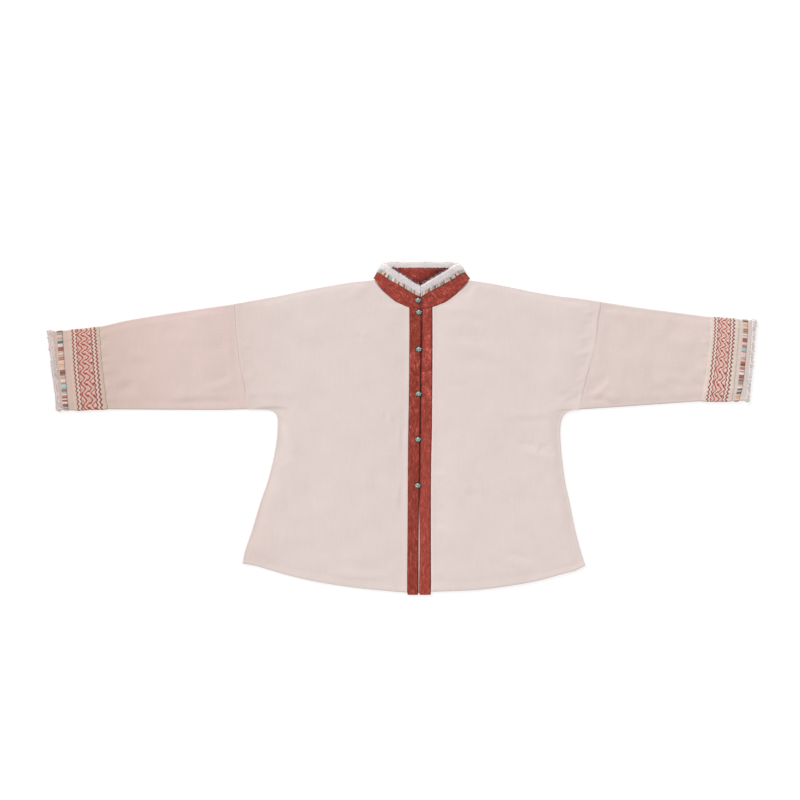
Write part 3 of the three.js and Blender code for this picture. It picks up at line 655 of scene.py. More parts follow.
def make_front(side, seed):
    cut = panel_cut(side)
    across, from_outer = even_places(cut, "low", "high", FRONT_STEP)
    up, from_hem = even_places(cut, "start", "end", FRONT_STEP)
    across_grid, up_grid = np.meshgrid(across, up)
    outer_grid, hem_grid = np.meshgrid(from_outer, from_hem)
    inner_grid = from_outer[-1] - outer_grid
    shoulder_grid = from_hem[-1] - hem_grid
    flat = cut_points(cut, across_grid, up_grid)
    edge_grid = np.minimum.reduce([outer_grid, inner_grid, hem_grid, shoulder_grid])
    calm = 1 - np.exp(-((edge_grid / 9) ** 2))
    sewn = np.minimum(outer_grid, inner_grid)
    lift = FRONT_LOFT * swell(across_grid, 0.2) * swell(up_grid, 0.12)
    lift = lift + FRONT_PUFF * (1 - np.exp(-((sewn / 26) ** 2))) * swell(up_grid, 0.05)
    unevenness = waves(flat, 90, 0.34, seed) + waves(flat, 38, 0.08, seed + 60)
    lift = lift + calm * (creased(flat, CREASES[side]) + unevenness)
    # The turned seam allowance stands up beside the band and the armhole.
    allowance = np.exp(-(((sewn - 3.2) / 2.6) ** 2)) * swell(up_grid, 0.04)
    lift = lift + ALLOWANCE_RISE * allowance
    lift = np.maximum(lift, 0)
    turned_up = 1 / (1 + np.exp((hem_grid - HEM_TURN - 0.8) / 0.8))
    rolled = HEM_ROLL * np.exp(-(((hem_grid - 4) / 4.5) ** 2))
    z_under = FRONT_Z + lift
    thickness = CLOTH + HEM_EXTRA * turned_up + rolled
    thickness = thickness - HEM_GROOVE * np.exp(-(((hem_grid - HEM_TURN) / 1.3) ** 2))
    underarm = PANEL_EDGES[side]["outer_y"][ARMHOLE_ROW]
    at_sleeve = (outer_grid < 5) & (flat[..., 1] > underarm)
    z_top = z_under + thickness - rounding(edge_grid, 0.9) * np.where(at_sleeve, 0.3, 1)
    faces = panel_faces(*across_grid.shape)
    points = panel_points(flat, z_top, z_under)
    front = add_piece(f"front_{side}_cloth", points, faces, body_cotton, "cotton")
    # A painted highlight along the inner edge beside the band, where the turned seam allowance stands up.
    beside_band = np.exp(-(((inner_grid - 0.8) / 1.1) ** 2)) * (flat[..., 1] < 262)
    mark_points(front, "edge", np.stack([beside_band, 0 * beside_band]))
    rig.replaces(front, "front_" + side)
    return front, cut, up, from_hem


def make_back():
    right = PANEL_EDGES["right"]
    left = PANEL_EDGES["left"]
    hem_middle = (HEMS["right"]["x"][-1] + HEMS["left"]["x"][-1]) / 2
    hem_centre = {"x": [hem_middle], "y": [HEM_LOWEST]}

    def run_across(ends, centre):
        """An edge from one side to the other: the right panel's, one in the middle, the left's."""
        parts = [(ends["right"][at], centre[at], ends["left"][at][::-1]) for at in "xy"]
        return run_along(*(np.concatenate(part) for part in parts))

    cut = {
        "low": run_across(HEMS, hem_centre),
        "high": run_across(SHOULDERS, BACK_NECK),
        "start": run_along(right["outer_x"], right["outer_y"]),
        "end": run_along(left["outer_x"], left["outer_y"]),
    }
    across, _ = even_places(cut, "low", "high", BACK_STEP)
    up, _ = even_places(cut, "start", "end", BACK_STEP)
    across_grid, up_grid = np.meshgrid(across, up)
    flat = cut_points(cut, across_grid, up_grid)
    # The seam allowances and the folds above leave it slightly uneven on its upper side only.
    z_top = CLOTH - 0.12 + 0.1 * waves(flat, 120, 1, 5)
    z_top = np.clip(z_top, CLOTH - 0.35, CLOTH)
    points = panel_points(flat, z_top, np.zeros_like(z_top))
    faces = panel_faces(*across_grid.shape)
    back = add_piece("back_cloth", points, faces, body_cotton, "cotton")
    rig.replaces(back, "back")
    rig.sheet(back, flat=BACK_CUT["flat"], held="laid", rests_on=["floor"], area=BACK_CUT["area"])


STITCH_LENGTH = 2.3
STITCH_PITCH = 3.2
STITCH_RADIUS = 0.28


def make_hem_stitches(side, front, cut, up, from_hem):
    """A row of single stitches, each a short thread sunk at both ends, along the hem's turn."""
    fine = np.linspace(0, 1, 900)
    row = np.interp(HEM_TURN - 1.5, from_hem, up)
    line = cut_points(cut, fine, np.full_like(fine, row))
    run = np.concatenate([[0], np.cumsum(np.linalg.norm(np.diff(line, axis=0), axis=1))])
    starts = np.arange(2, run[-1] - 3, STITCH_PITCH)
    mesh = front.data
    top_count = len(mesh.vertices) // 2
    cloth = np.zeros(len(mesh.vertices) * 3)
    mesh.vertices.foreach_get("co", cloth)
    cloth = cloth.reshape(-1, 3)[:top_count] * 1000
    rings, sides = 5, 6
    turn = np.linspace(0, 2 * math.pi, sides, endpoint=False)
    points, faces = [], []
    grid = np.arange(rings * sides).reshape(rings, sides)
    for start in starts:
        along = start + STITCH_LENGTH * np.linspace(0, 1, rings)
        x = np.interp(along, run, line[:, 0])
        y = np.interp(along, run, line[:, 1])
        nearest = np.argmin((cloth[:, 0] - x[2]) ** 2 + (cloth[:, 1] - y[2]) ** 2)
        heading = np.array([x[-1] - x[0], y[-1] - y[0]])
        heading = heading / np.linalg.norm(heading)
        width = STITCH_RADIUS * np.array([0.35, 0.9, 1, 0.9, 0.35])
        rise = cloth[nearest, 2] + 0.02 - 0.3 * np.array([1, 0.15, 0, 0.15, 1])
        aside = width[:, None] * np.cos(turn)
        stitch = np.stack(
            [
                x[:, None] - heading[1] * aside,
                y[:, None] + heading[0] * aside,
                rise[:, None] + width[:, None] * np.sin(turn),
            ],
            -1,
        ).reshape(-1, 3)
        first = len(points) * rings * sides
        points.append(stitch)
        faces.append(quads(going_round(grid)) + first)
        for end, order in ((grid[0], -1), (grid[-1], 1)):
            ring = end[::order] + first
            faces.append(np.array([[ring[0], ring[1], ring[2], ring[3]]]))
            faces.append(np.array([[ring[0], ring[3], ring[4], ring[5]]]))
    name = "hem_stitches_" + side
    return add_piece(name, np.concatenate(points), np.concatenate(faces), thread, "cotton")


thread_finish = Finish("sewing_thread", Roughness=0.6)
thread_place = thread_finish.place()
twist = (thread_finish.part(thread_place, 0) + thread_finish.part(thread_place, 1) * 0.6).wave(0.7)
thread = thread_finish.paint(
    thread_finish.shaded(dye(222, 203, 196), twist * 0.06), twist * 0.5 + 0.5, 0.05
)

make_back()
for side, seed in (("right", 11), ("left", 12)):
    front, cut, up, from_hem = make_front(side, seed)
    stitches = make_hem_stitches(side, front, cut, up, from_hem)
    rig.sheet(front, held="laid", rests_on=["back"], with_pieces=[stitches], **FRONT_CUTS[side])

# Front bands
# A strip of cotton velvet folded double edges each front from the neck to the hem. The pile is
# crushed in small patches. On the wearer's left it lies the other way, and that band is painted
# paler, a painted sheen of how light falls on pile that lies that way.
BAND_THICKNESS = 3.0
BAND_ROUND = 1.0
BAND_STEP = 2.4
BAND_CUTS = {"right": (0.0275, 0.604), "left": (0.0295, 0.604)}
BAND_NAP = 90
BAND_PATCH = 10.5
BAND_CALM_BELOW = 20
BAND_PILLOW = 0.25
CALM_SPAN = 80


def velvet_finish(name, colour, sheen, nap, crush, patch, calm_below, shadow):
    """Velvet: a deep ground with paler patches of a size where the pile is pushed over, and fine
    lines along its nap, an angle in degrees from across. Its pile is calmer below a height on the
    jacket. The shadow gives how much darker each place is."""
    lit = {"Sheen_Weight": sheen, "Sheen_Roughness": 0.35, "Sheen_Tint": dye(255, 190, 175)}
    velvet = Finish(name, Roughness=0.85, Specular_IOR_Level=0.1, **lit)
    place = velvet.place()
    turn = {"Vector": place, "Angle": math.radians(nap)}
    along_nap = velvet.node("ShaderNodeVectorRotate", {"rotation_type": "Z_AXIS"}, turn)
    crushed = velvet.patches(place, patch, 3)
    flecks = velvet.patches(place, 3.0, 2)
    lines = velvet.patches(along_nap, 2.4, 2, (4.5, 1, 1))
    pile = velvet.patches(place, 1.2, 1)
    lively = velvet.part(place, 1).between(calm_below - CALM_SPAN, calm_below + CALM_SPAN)
    rough = lively * 0.7 + 0.3
    tone = ((crushed - 0.5) * 1.2 + (flecks - 0.5) * 0.9) * (rough * crush)
    tone = tone + (lines - 0.5) * 0.9 + (pile - 0.5) * 0.35 - shadow(velvet, place)
    pale = velvet.mix(tone.between(-0.06, 0.52), colour, dye(192, 99, 88))
    height = crushed * 0.5 + flecks * 0.3 + lines * 0.4 + pile * 0.25
    return velvet.paint(velvet.shaded(pale, tone), height, 0.35, 0.7)


def ring_faces(count, size, joined):
    """Faces of a skin through rings of points. It joins its last ring to its first, or each end is
    closed by a strip between the ring's two halves."""
    index = np.arange(count * size).reshape(count, size)
    skin = going_round(index)
    if joined:
        return quads(np.concatenate([skin, skin[:1]], axis=0))
    half = size // 2
    first, last = (np.stack([end[:half], end[: half - 1 : -1]]) for end in index[[0, -1]])
    return np.concatenate([quads(skin), quads(first)[:, ::-1], quads(last)])


MEETING_X = 38.4
MEETING_SLANT = 0.0125
SLIT_TOP = -145
SLIT_BEND = 8
TOUCHING = 0.05


def beside_the_slit(velvet, place):
    """The shade in which the bands' facing edges lie above the slit, and round its upper end."""
    y = velvet.part(place, 1)
    from_middle = velvet.part(place, 0) - MEETING_X - y * MEETING_SLANT
    aside = from_middle.math("ABSOLUTE", from_middle)
    return (1 - aside.between(0.6, 3.4)) * y.between(-170, -130) * 0.6


def add_skin(name, rings, joined, finish, slot):
    """A piece whose mesh is a skin through rings of points."""
    return add_piece(name, rings.reshape(-1, 3), ring_faces(*rings.shape[:2], joined), finish, slot)


def meeting_line(y):
    """The middle between the bands' facing edges, and half of what they are apart."""
    left = band_edge("left_inner", y)
    right = band_edge("right_inner", y)
    return (left + right) / 2, (left - right) / 2


def make_facing():
    """The folded edge of the cotton facing, which shows in the slit between the bands."""
    y = np.arange(FACING_TOP, FACING_END, -3.0)[::-1]
    middle, open_by = meeting_line(y)
    open_by = np.clip(open_by - 0.35, 0.1, 9)
    across = np.array([-1, -0.6, 0, 0.6, 1, 1, 0.5, -0.5, -1, -1])
    z = np.array([4.3, 4.7, 4.8, 4.7, 4.3, 2.6, 2.5, 2.5, 2.6, 3.5])
    x = middle[:, None] + open_by[:, None] * across
    rings = np.stack([x, y[:, None] + 0 * x, z + 0 * x], -1)
    # The facing is painted darker towards +X, as shade in the slit.
    finish = cotton_finish("cotton_facing", dye(226, 192, 186), dye(220, 184, 178), 1, 30, 45)
    return add_skin("placket_facing", rings, False, finish, "cotton")


def make_band(side, colour, sheen, crush, sewn_in=()):
    """The band's section goes over the top between rounded edges, and back underneath."""
    ends = np.array([-350, -349.6, -349, -348, -347])
    y = np.concatenate([ends, np.arange(-345, 249, BAND_STEP), [250]])
    outer = band_edge(side + "_outer", y)
    inner = band_edge(side + "_inner", y)
    # The two bands' facing edges touch above the slit.
    touching = meeting_line(y)[0] + OUTWARDS[side] * TOUCHING
    inner = inner + (touching - inner) / (1 + np.exp(-(y - SLIT_TOP) / SLIT_BEND))
    low = np.minimum(outer, inner)[:, None]
    high = np.maximum(outer, inner)[:, None]
    # The lower corners are rounded where the strip's end is turned in.
    corner_cut = rounding(y - y[0], 3.5)[:, None] * 0.7
    low = low + corner_cut
    high = high - corner_cut
    top = FRONT_Z + BAND_THICKNESS
    turn = np.linspace(0, math.pi / 2, 4)
    left_x = low + BAND_ROUND * (1 - np.sin(turn))
    right_x = high - BAND_ROUND * (1 - np.sin(turn[::-1]))
    share = np.linspace(0, 1, 11)[1:-1]
    middle_x = low + BAND_ROUND + (high - low - 2 * BAND_ROUND) * share
    over_x = np.concatenate([left_x, middle_x, right_x], axis=1)
    arc = BAND_ROUND * (1 - np.cos(turn))
    corner_z = np.concatenate([-arc[::-1], np.zeros(9), -arc])[None, :]
    end_round = rounding(y - y[0], 1.5)[:, None]
    # The strip's top end is cut to the curve of the neck seam.
    from_inner = np.abs(over_x - inner[:, None]) / (high - low)
    near_neck = np.clip((y[:, None] - 215) / 35, 0, 1) ** 2
    y_over = y[:, None] + (0.2 + BAND_TOP_RISE[side] * from_inner**2) * near_neck
    swayed = waves(np.stack([over_x, y_over], -1), 14, 0.09, 21 + len(side))
    pillow = BAND_PILLOW * np.sin(np.pi * np.clip((over_x - low) / (high - low), 0, 1))
    z_over = top + corner_z - end_round + swayed * (corner_z == 0) + pillow
    over = np.stack([over_x, y_over, z_over], -1)
    z_under = FRONT_Z + np.where(corner_z < -0.5, 0.5, 0.0) + 0 * over_x
    under = np.stack([over_x, y_over, z_under], -1)[:, ::-1]
    rings = np.concatenate([over, under], axis=1)
    pile = (BAND_NAP, crush, BAND_PATCH, BAND_CALM_BELOW)
    finish = velvet_finish("velvet_" + side, colour, sheen, *pile, beside_the_slit)
    band = add_skin(f"band_{side}_velvet", rings, False, finish, "velvet")
    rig.replaces(band, "band_" + side)
    cut = BAND_CUTS[side]
    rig.sheet(band, flat=cut, held="laid", rests_on=["back"], with_pieces=list(sewn_in))


BAND_TOP_RISE = {"right": 2.4, "left": 3.1}
FACING_TOP = -165
FACING_END = -347
# The left band's paler colour is a painted sheen, from its pile lying the other way.
make_band("right", dye(143, 59, 48), 0.2, 0.75)
make_band("left", dye(158, 68, 58), 0.35, 0.85, [make_facing()])

# Sleeves
# Each sleeve is one piece of the same cotton, folded lengthwise at its top and seamed at its
# underside, and set into the armhole. It lies flat, open at the wrist.
SLEEVE_HALF = 2.3
SEWN_GAP = 0.06
SLEEVE_LOFT = 1.4
SLEEVE_PUFF = 1.5
SLEEVE_STEP = 3.3
TRIM_THICKNESS = 1.0
TRIM_REACH = SEAM_GAP + TRIM_THICKNESS
SLEEVES = {
    "right": table("from_end top_x top_y bottom_x bottom_y lift", [
        (395, 0, 260.4, 0, 39.5, 0),
        (320, -424, 249.9, -395, 38, 0),
        (236, -508, 237.3, -481, 38.4, 0),
        (158, -582, 224.7, -561, 39, 0.2),
        (106, -635, 212.4, -615, 39.2, 1.3),
        (70, -670, 207.6, -650.5, 38.6, 1.3),
        (36, -703, 205, -684.5, 36.8, 1.3),
        (0, -738.5, 202.2, -720, 38.4, 1.3),
    ]),
    "left": table("from_end top_x top_y bottom_x bottom_y lift", [
        (338, 0, 264.6, 0, 38.9, 0),
        (255, 492, 253.4, 465, 45, 0),
        (182, 562, 244, 540, 50.3, 0),
        (137, 604, 238.6, 588, 53.6, 0.2),
        (93, 646.5, 233, 632, 56.2, 1.3),
        (62, 677, 230.4, 662, 55.8, 1.3),
        (33, 705.5, 228.2, 691, 56, 1.3),
        (0, 738.5, 225.2, 723.5, 57.8, 1.3),
    ]),
}
SLEEVE_CREASES = {
    "right": [
        (-352, 240, -341, 70, -4, 7, -0.35), (-364, 236, -352, 66, -4, 8, 0.3),
        (-488, 50, -344, 53, 3, 5.5, -1.9), (-494, 60, -344, 64, 4, 8, 0.9),
        (-480, 43, -350, 44, 1, 4, 0.8), (-352, 120, -410, 96, 4, 9, -0.9),
        (-356, 96, -430, 80, 4, 8, 0.8), (-360, 180, -410, 168, 3, 11, -0.7),
        (-600, 74, -556, 86, 3, 12, -1.3), (-604, 94, -560, 104, 2, 9, 0.8),
        (-500, 206, -458, 188, 3, 14, -1.2), (-486, 222, -440, 206, 3, 10, 0.6),
        (-566, 140, -528, 124, 2, 12, -1.0), (-572, 156, -524, 146, 2, 10, 0.6),
        (-632, 196, -620, 194, 0, 4, 0.7), (-631, 184, -616, 183, 0, 4, -0.5),
        (-629, 168, -618, 166, 0, 5, 0.8), (-629, 150, -609, 148, 0, 5, -0.6),
        (-628, 141, -618, 139, 0, 4, 0.9), (-625, 121, -607, 119, 0, 5, 0.6),
        (-622, 108, -613, 107, 0, 4, -0.7), (-622, 90, -606, 88, 0, 4.5, 0.8),
        (-620, 70, -610, 69, 0, 4, -0.5), (-620, 60, -604, 60, 0, 4, 0.6),
        (-440, 150, -520, 120, 6, 22, 0.7), (-420, 220, -560, 200, -4, 16, -0.6),
    ],
    "left": [
        (419, 246, 383, 72, -5, 7, -0.3), (432, 244, 396, 68, -5, 8, 0.3),
        (430, 110, 388, 70, 0, 5, -1.8), (438, 98, 398, 58, 0, 6, 1.2),
        (388, 92, 428, 96, 2, 7, -1.3), (384, 62, 446, 44, 3, 6, -1.1),
        (392, 76, 452, 58, 3, 6, 1.2), (396, 54, 440, 46, 2, 5, 0.9),
        (416, 258, 450, 244, 2, 8, -1.0), (424, 244, 470, 230, 2, 9, 0.7),
        (552, 216, 604, 192, -3, 18, -1.5), (560, 190, 616, 172, -3, 12, 0.8),
        (520, 84, 556, 68, 2, 11, -1.1), (530, 100, 572, 84, 2, 9, 0.7),
        (604, 96, 642, 80, 2, 8, -1.5), (556, 112, 596, 92, 2, 6, 1.1),
        (552, 98, 590, 80, 2, 6, -0.8), (460, 160, 520, 120, 5, 20, 0.8),
        (470, 200, 540, 150, 5, 18, -0.7), (632, 206, 654, 200, 0, 5, -0.8),
        (628, 182, 648, 178, 0, 5, 0.9), (626, 150, 642, 146, 0, 5, -0.8),
        (618, 124, 640, 120, 0, 5, 0.9),
    ],
}
SLEEVE_CUTS = {
    "right": {"flat": (0.446, 0.412), "area": 0.155},
    "left": {"flat": (0.456, 0.345), "area": 0.136},
}


def armhole(side):
    edges = PANEL_EDGES[side]
    return edges["outer_x"][ARMHOLE_ROW:], edges["outer_y"][ARMHOLE_ROW:]


def armhole_x(side, y):
    """How far out a sleeve starts at a height on its armhole, sewn close to the body."""
    x, heights = armhole(side)
    return np.interp(y, heights, x) + OUTWARDS[side] * SEWN_GAP


def outermost(*places):
    return max(places, key=abs)


for side, rows in SLEEVES.items():
    for edge, inwards in (("top", -SLEEVE_HALF), ("bottom", SLEEVE_HALF)):
        y = rows[edge + "_y"][0]
        rows[edge + "_x"][0] = outermost(armhole_x(side, y), armhole_x(side, y + inwards))


def sleeve_cut(side):
    """The flat outline of a sleeve, drawn in so that its round folds end on the outline."""
    rows = SLEEVES[side]
    seam_x, seam_y = armhole(side)
    seam = run_along(seam_x, seam_y)

    def drawn_in(place, t):
        shift = SLEEVE_HALF * (1 - 2 * np.asarray(t, float))
        return np.stack([place[..., 0], place[..., 1] + shift], -1)

    def low(t):
        place = drawn_in(seam(t), t)
        return np.stack([armhole_x(side, place[..., 1]), place[..., 1]], -1)

    def high(t):
        t = np.asarray(t, float)
        x = rows["bottom_x"][-1] + (rows["top_x"][-1] - rows["bottom_x"][-1]) * t
        y = rows["bottom_y"][-1] + (rows["top_y"][-1] - rows["bottom_y"][-1]) * t
        return drawn_in(np.stack([x, y], -1), t)

    bottom = run_along(rows["bottom_x"], rows["bottom_y"])
    top = run_along(rows["top_x"], rows["top_y"])
    return {
        "low": low,
        "high": high,
        "start": lambda s: drawn_in(bottom(s), 0),
        "end": lambda s: drawn_in(top(s), 1),
    }


def sleeve_ring(columns, fold_steps):
    """A way round the flattened sleeve: over it, round its top fold, under it, and round the
    bottom fold. Gives each point's place across, how far up and how far sideways it faces, and
    whether it is on top."""
    t = np.linspace(0, 1, columns + 1)
    angle = np.linspace(0, math.pi, fold_steps + 1)[1:-1]
    ones = np.ones(columns + 1)
    folded = np.ones(fold_steps - 1)
    across = np.concatenate([t, folded, t[::-1], 0 * folded])
    facing_up = np.concatenate([ones, np.cos(angle), -ones, -np.cos(angle)])
    sideways = np.concatenate([0 * ones, np.sin(angle), 0 * ones, -np.sin(angle)])
    on_top = np.concatenate([ones, 0 * folded, 0 * ones, 0 * folded])
    return across, facing_up, sideways, on_top


def sleeve_points(side, ring, from_end, out):
    """Points round the sleeve at places measured from the wrist, `out` from its outer face and no
    more than a trim's reach under it. Below zero, the places go on past the wrist. A ring is level
    with the wrist if it has one place, and slants if it has one for each of its points."""
    rows = SLEEVES[side]
    across, facing_up, sideways, on_top = ring
    from_end = np.asarray(from_end, float)
    from_end = from_end[:, None] if from_end.ndim == 1 else from_end
    out = np.asarray(out, float)
    out = out[:, None] if out.ndim == 1 else out
    at = find_row(rows["from_end"], np.maximum(from_end, 0))
    s = at / (len(rows["from_end"]) - 1)
    t = across[None, :] + 0 * s
    flat = cut_points(sleeve_cut(side), t, s + 0 * t)
    past = -OUTWARDS[side] * np.minimum(from_end, 0)
    middle = SLEEVE_HALF + read(rows["lift"], at)
    out_under = np.minimum(out, TRIM_REACH)
    reach = out_under + (out - out_under) * (1 + facing_up) / 2
    calm = swell(t, 0.07) * (1 - np.exp(-((np.abs(s) / 0.03) ** 2)))
    loft = SLEEVE_LOFT * swell(t, 0.4) * swell(s, 0.25)
    loft = loft + SLEEVE_PUFF * swell(t, 0.12) * swell(s, 0.12)
    loft = loft + swell(t, 0.07) * creased(flat, SLEEVE_CREASES[side]) * swell(s, 0.02)
    long_waves = waves(flat, 80, 0.3, 31 + len(side))
    short_waves = waves(flat, 36, 0.08, 90 + len(side))
    loft = loft + calm * (long_waves + short_waves)
    z = middle + facing_up * (SLEEVE_HALF + reach) + np.maximum(loft, -0.3) * on_top
    y = flat[..., 1] + sideways * (SLEEVE_HALF + out)
    return np.stack([flat[..., 0] + past, y, z], -1)


def make_sleeve(side, finish):
    length = SLEEVES[side]["from_end"][0]
    marks = np.linspace(0, length, round(length / SLEEVE_STEP) + 1)
    marks = np.unique(np.concatenate([marks, length - EDGE_STEPS]))[::-1]
    ring = sleeve_ring(66, 8)
    edge = 0.2 * rounding(length - marks, 0.9)
    outer = sleeve_points(side, ring, marks, -edge)
    inner = sleeve_points(side, ring, marks[::4], np.full(len(marks[::4]), -CLOTH))
    rings = np.concatenate([outer, inner[::-1]])
    sleeve = add_skin(f"sleeve_{side}_cloth", rings, True, finish, "cotton")
    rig.replaces(sleeve, "sleeve_" + side)
    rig.sheet(sleeve, held="laid", rests_on=["floor"], **SLEEVE_CUTS[side])


# Each sleeve's cotton is painted darker towards its wrist, as shade there.
right_sleeve_cotton = cotton_finish(
    "cotton_sleeve_right", dye(222, 200, 193), dye(206, 180, 169), -1, 430, 780
)
left_sleeve_cotton = cotton_finish(
    "cotton_sleeve_left", dye(221, 203, 197), dye(220, 202, 195), 1, 520, 800
)
make_sleeve("right", right_sleeve_cotton)
make_sleeve("left", left_sleeve_cotton)

# Woven cuff bands
# A red and white fret ribbon goes round each sleeve: a zigzag field between dotted zigzag lines
# and cream picot edges. It is woven to a chart, and the coloured floats stand up from the ground.

# How far from the wrist the trims were sewn, by the place across the sleeve: 0 is the underside's
# seam and 1 the top fold
CUFF_LINES = {
    "right": table("across fur ribbon_near ribbon_far band_near zigzag_near zigzag_far band_far", [
        (0, 6.4, 10.2, 20.8, 33.6, 41.4, 90.5, 102.5),
        (0.5, 6.4, 11.8, 23.1, 35.5, 43.3, 92.8, 102),
        (1, 7.2, 15.1, 26.5, 37.8, 47.5, 95.3, 104.5),
    ]),
    "left": table("across fur ribbon_near ribbon_far band_near zigzag_near zigzag_far band_far", [
        (0, 4.2, 17.6, 26.4, 31.4, 44.8, 83.6, 95.6),
        (0.12, 3.5, 13.2, 22.8, 30.2, 42.1, 82.6, 93.6),
        (0.25, 3.5, 11.9, 22, 29.8, 41.5, 81.2, 92),
        (0.5, 3.5, 11.5, 21.1, 29.6, 41.2, 80.6, 90),
        (0.75, 3.5, 11.6, 21.2, 29.8, 41.4, 80.9, 90),
        (0.9, 4.6, 12.1, 21.7, 30.6, 42.1, 81.7, 90.8),
        (1, 7, 14.1, 24.4, 31.6, 43.2, 83, 91.8),
    ]),
}
YARNS = {
    "ground": dye(220, 194, 184), "pink": dye(224, 176, 164), "white": dye(227, 213, 205),
    "grey": dye(184, 180, 174), "red": dye(188, 72, 57), "orange": dye(204, 84, 60),
    "dark": dye(148, 70, 60), "brown": dye(130, 84, 76), "cream": dye(219, 201, 189),
    "straw": dye(214, 192, 164),
}
RAISED = ["red", "orange", "dark", "brown"]
# Where the middle of each zigzag float is, in ends across the field, for each row of the repeat
FIELD_ZIGZAGS = [
    [
        9, 8, 7, 6, 4.8, 3.7, 2.5, 1.7, 0.9, 0.7,
        1.2, 1.8, 2.5, 3.2, 4.1, 5.1, 6, 6.9, 7.6, 8.3,
    ],
    [
        21, 20.2, 19.4, 18.6, 17.4, 16.2, 13.5, 10.5, 8.5, 7.5,
        8, 9, 10, 11.3, 13, 16, 17.4, 18.7, 19.7, 20.4,
    ],
    [
        31, 30, 29, 27, 25.4, 23.8, 22, 20.8, 19.6, 19.1,
        19.8, 20.9, 21.8, 23, 24.3, 25.3, 26.3, 27.3, 29, 30,
    ],
]
# Small figures between the zigzags: first and last row, first and last end, and the yarn
FIELD_FIGURES = [
    (4, 5, 12, 15, "orange"), (6, 6, 10, 16, "dark"), (7, 9, 12, 14, "white"),
    (11, 12, 11, 14, "orange"), (13, 14, 10, 15, "dark"), (19, 19, 13, 14, "grey"),
    (0, 0, 13, 14, "grey"), (0, 1, 1, 2, "brown"), (7, 9, 24, 26, "white"),
    (12, 12, 24, 26, "orange"), (13, 14, 24, 27, "dark"), (2, 2, 12, 14, "pink"),
    (17, 17, 12, 14, "pink"),
]
FIELD_ENDS = 28
FIELD_ROWS = 20
LEFT_BORDER_ENDS = 21
RIGHT_BORDER_ENDS = 19
CHART_WIDTH = LEFT_BORDER_ENDS + FIELD_ENDS + RIGHT_BORDER_ENDS
BORDER_SWAY = [0, 0, 1, 2, 3, 3, 2, 1]
# The columns in which the outer zigzags run, where the ribbon is held to its lines on the sleeve
ZIGZAG_COLUMNS = {"right": (11.5, 59.5), "left": (8.5, 56.5)}
CHART_ROW = 1.06
FLOAT_RISE = 0.22
EDGE_THINNING = 0.68
EDGE_WAVER = 0.9
BAND_FLATS = {"right": (0.069, 0.345), "left": (0.062, 0.35)}


def cuff_line(side, line, ring):
    """How far up the sleeve a line of the cuff's trim is, for each point of a ring. The lines were
    measured square to the sleeve's end, so the places are moved until they are that far off it."""
    rows = SLEEVES[side]
    lines = CUFF_LINES[side]
    seam_end = np.array([rows["bottom_x"][-1], rows["bottom_y"][-1]])
    run = np.array([rows["top_x"][-1], rows["top_y"][-1]]) - seam_end
    square = np.array([run[1], -run[0]]) / np.linalg.norm(run) * -OUTWARDS[side]
    place = np.interp(ring[0], lines["across"], lines[line])
    for _ in range(5):
        s = find_row(rows["from_end"], place) / (len(rows["from_end"]) - 1)
        offset = cut_points(sleeve_cut(side), ring[0], s) - seam_end
        across = offset @ run / (run @ run)
        place = place + np.interp(across, lines["across"], lines[line]) - offset @ square
    return place


def thread_finish_for(name, roughness, rib):
    """Woven ribbon: each face keeps the colour of its yarn, broken by the twist and by wear."""
    sheen = {"Sheen_Weight": 0.15, "Sheen_Roughness": 0.4}
    ribbon = Finish(name, Roughness=roughness, Specular_IOR_Level=0.25, **sheen)
    yarn = ribbon.node("ShaderNodeAttribute", {"attribute_name": "yarn"})
    ribs = ribbon.node("ShaderNodeAttribute", {"attribute_name": "along"}, output=2).wave(rib)
    twist = ribbon.patches(ribbon.place(), 0.7, 2)
    wear = ribbon.patches(ribbon.place(), 9, 3)
    tone = ribs * 0.05 + (twist - 0.5) * 0.16 + (wear - 0.5) * 0.12
    return ribbon.paint(ribbon.shaded(yarn, tone), ribs * 0.5 + twist * 0.5 + 0.5, 0.12, 0.7)


def colour_yarn(mesh, domain, colours):
    """Gives each point, or each corner of the faces, its yarn's or hair's colour."""
    layer = mesh.color_attributes.new("yarn", "FLOAT_COLOR", domain)
    layer.data.foreach_set("color", np.asarray(colours, np.float32).ravel())


def colour_faces(piece, colours):
    corners = np.repeat(colours, len(piece.data.loops) // len(colours), axis=0)
    colour_yarn(piece.data, "CORNER", corners)


def trim_ring(side, row, step):
    """The ring of a trim near a row of the sleeve, with places about a step apart, and how many of
    them it has on its upper side."""
    rows = SLEEVES[side]
    width = rows["top_y"][row] - rows["bottom_y"][row] - 2 * SLEEVE_HALF
    columns = round(width / step)
    fold_steps = round(math.pi * (SLEEVE_HALF + TRIM_REACH) / step)
    return sleeve_ring(columns, fold_steps), columns


def add_trim(name, side, ring, marks, out, along, finish, slot):
    """A ribbon round a sleeve, from its outer face's places and its places along the ring. Its
    back lies on the sleeve."""
    outer = sleeve_points(side, ring, marks, out)
    back = sleeve_points(side, ring, marks[[-1, 0]], np.full(2, SEAM_GAP))
    rings = np.concatenate([outer, back])
    trim = add_skin(name, rings, True, finish, slot)
    mark_points(trim, "along", np.tile(along, len(rings)))
    return trim


def zigzag_yarn(aside):
    """A float's yarn by how far a cell is from its middle: red, edged in brown, then pink."""
    if abs(aside) < 1.15:
        return "red"
    if -1.8 < aside < 0:
        return "brown"
    return "pink" if 0 < aside < 2.6 else None


def field_yarn(row, end):
    row = row % FIELD_ROWS
    for first_row, last_row, first_end, last_end, yarn in FIELD_FIGURES:
        if first_row <= row <= last_row and first_end <= end <= last_end:
            return yarn
    found = [zigzag_yarn(end - line[row]) for line in FIELD_ZIGZAGS]
    for yarn in ("red", "brown", "pink"):
        if yarn in found:
            return yarn
    return "ground"


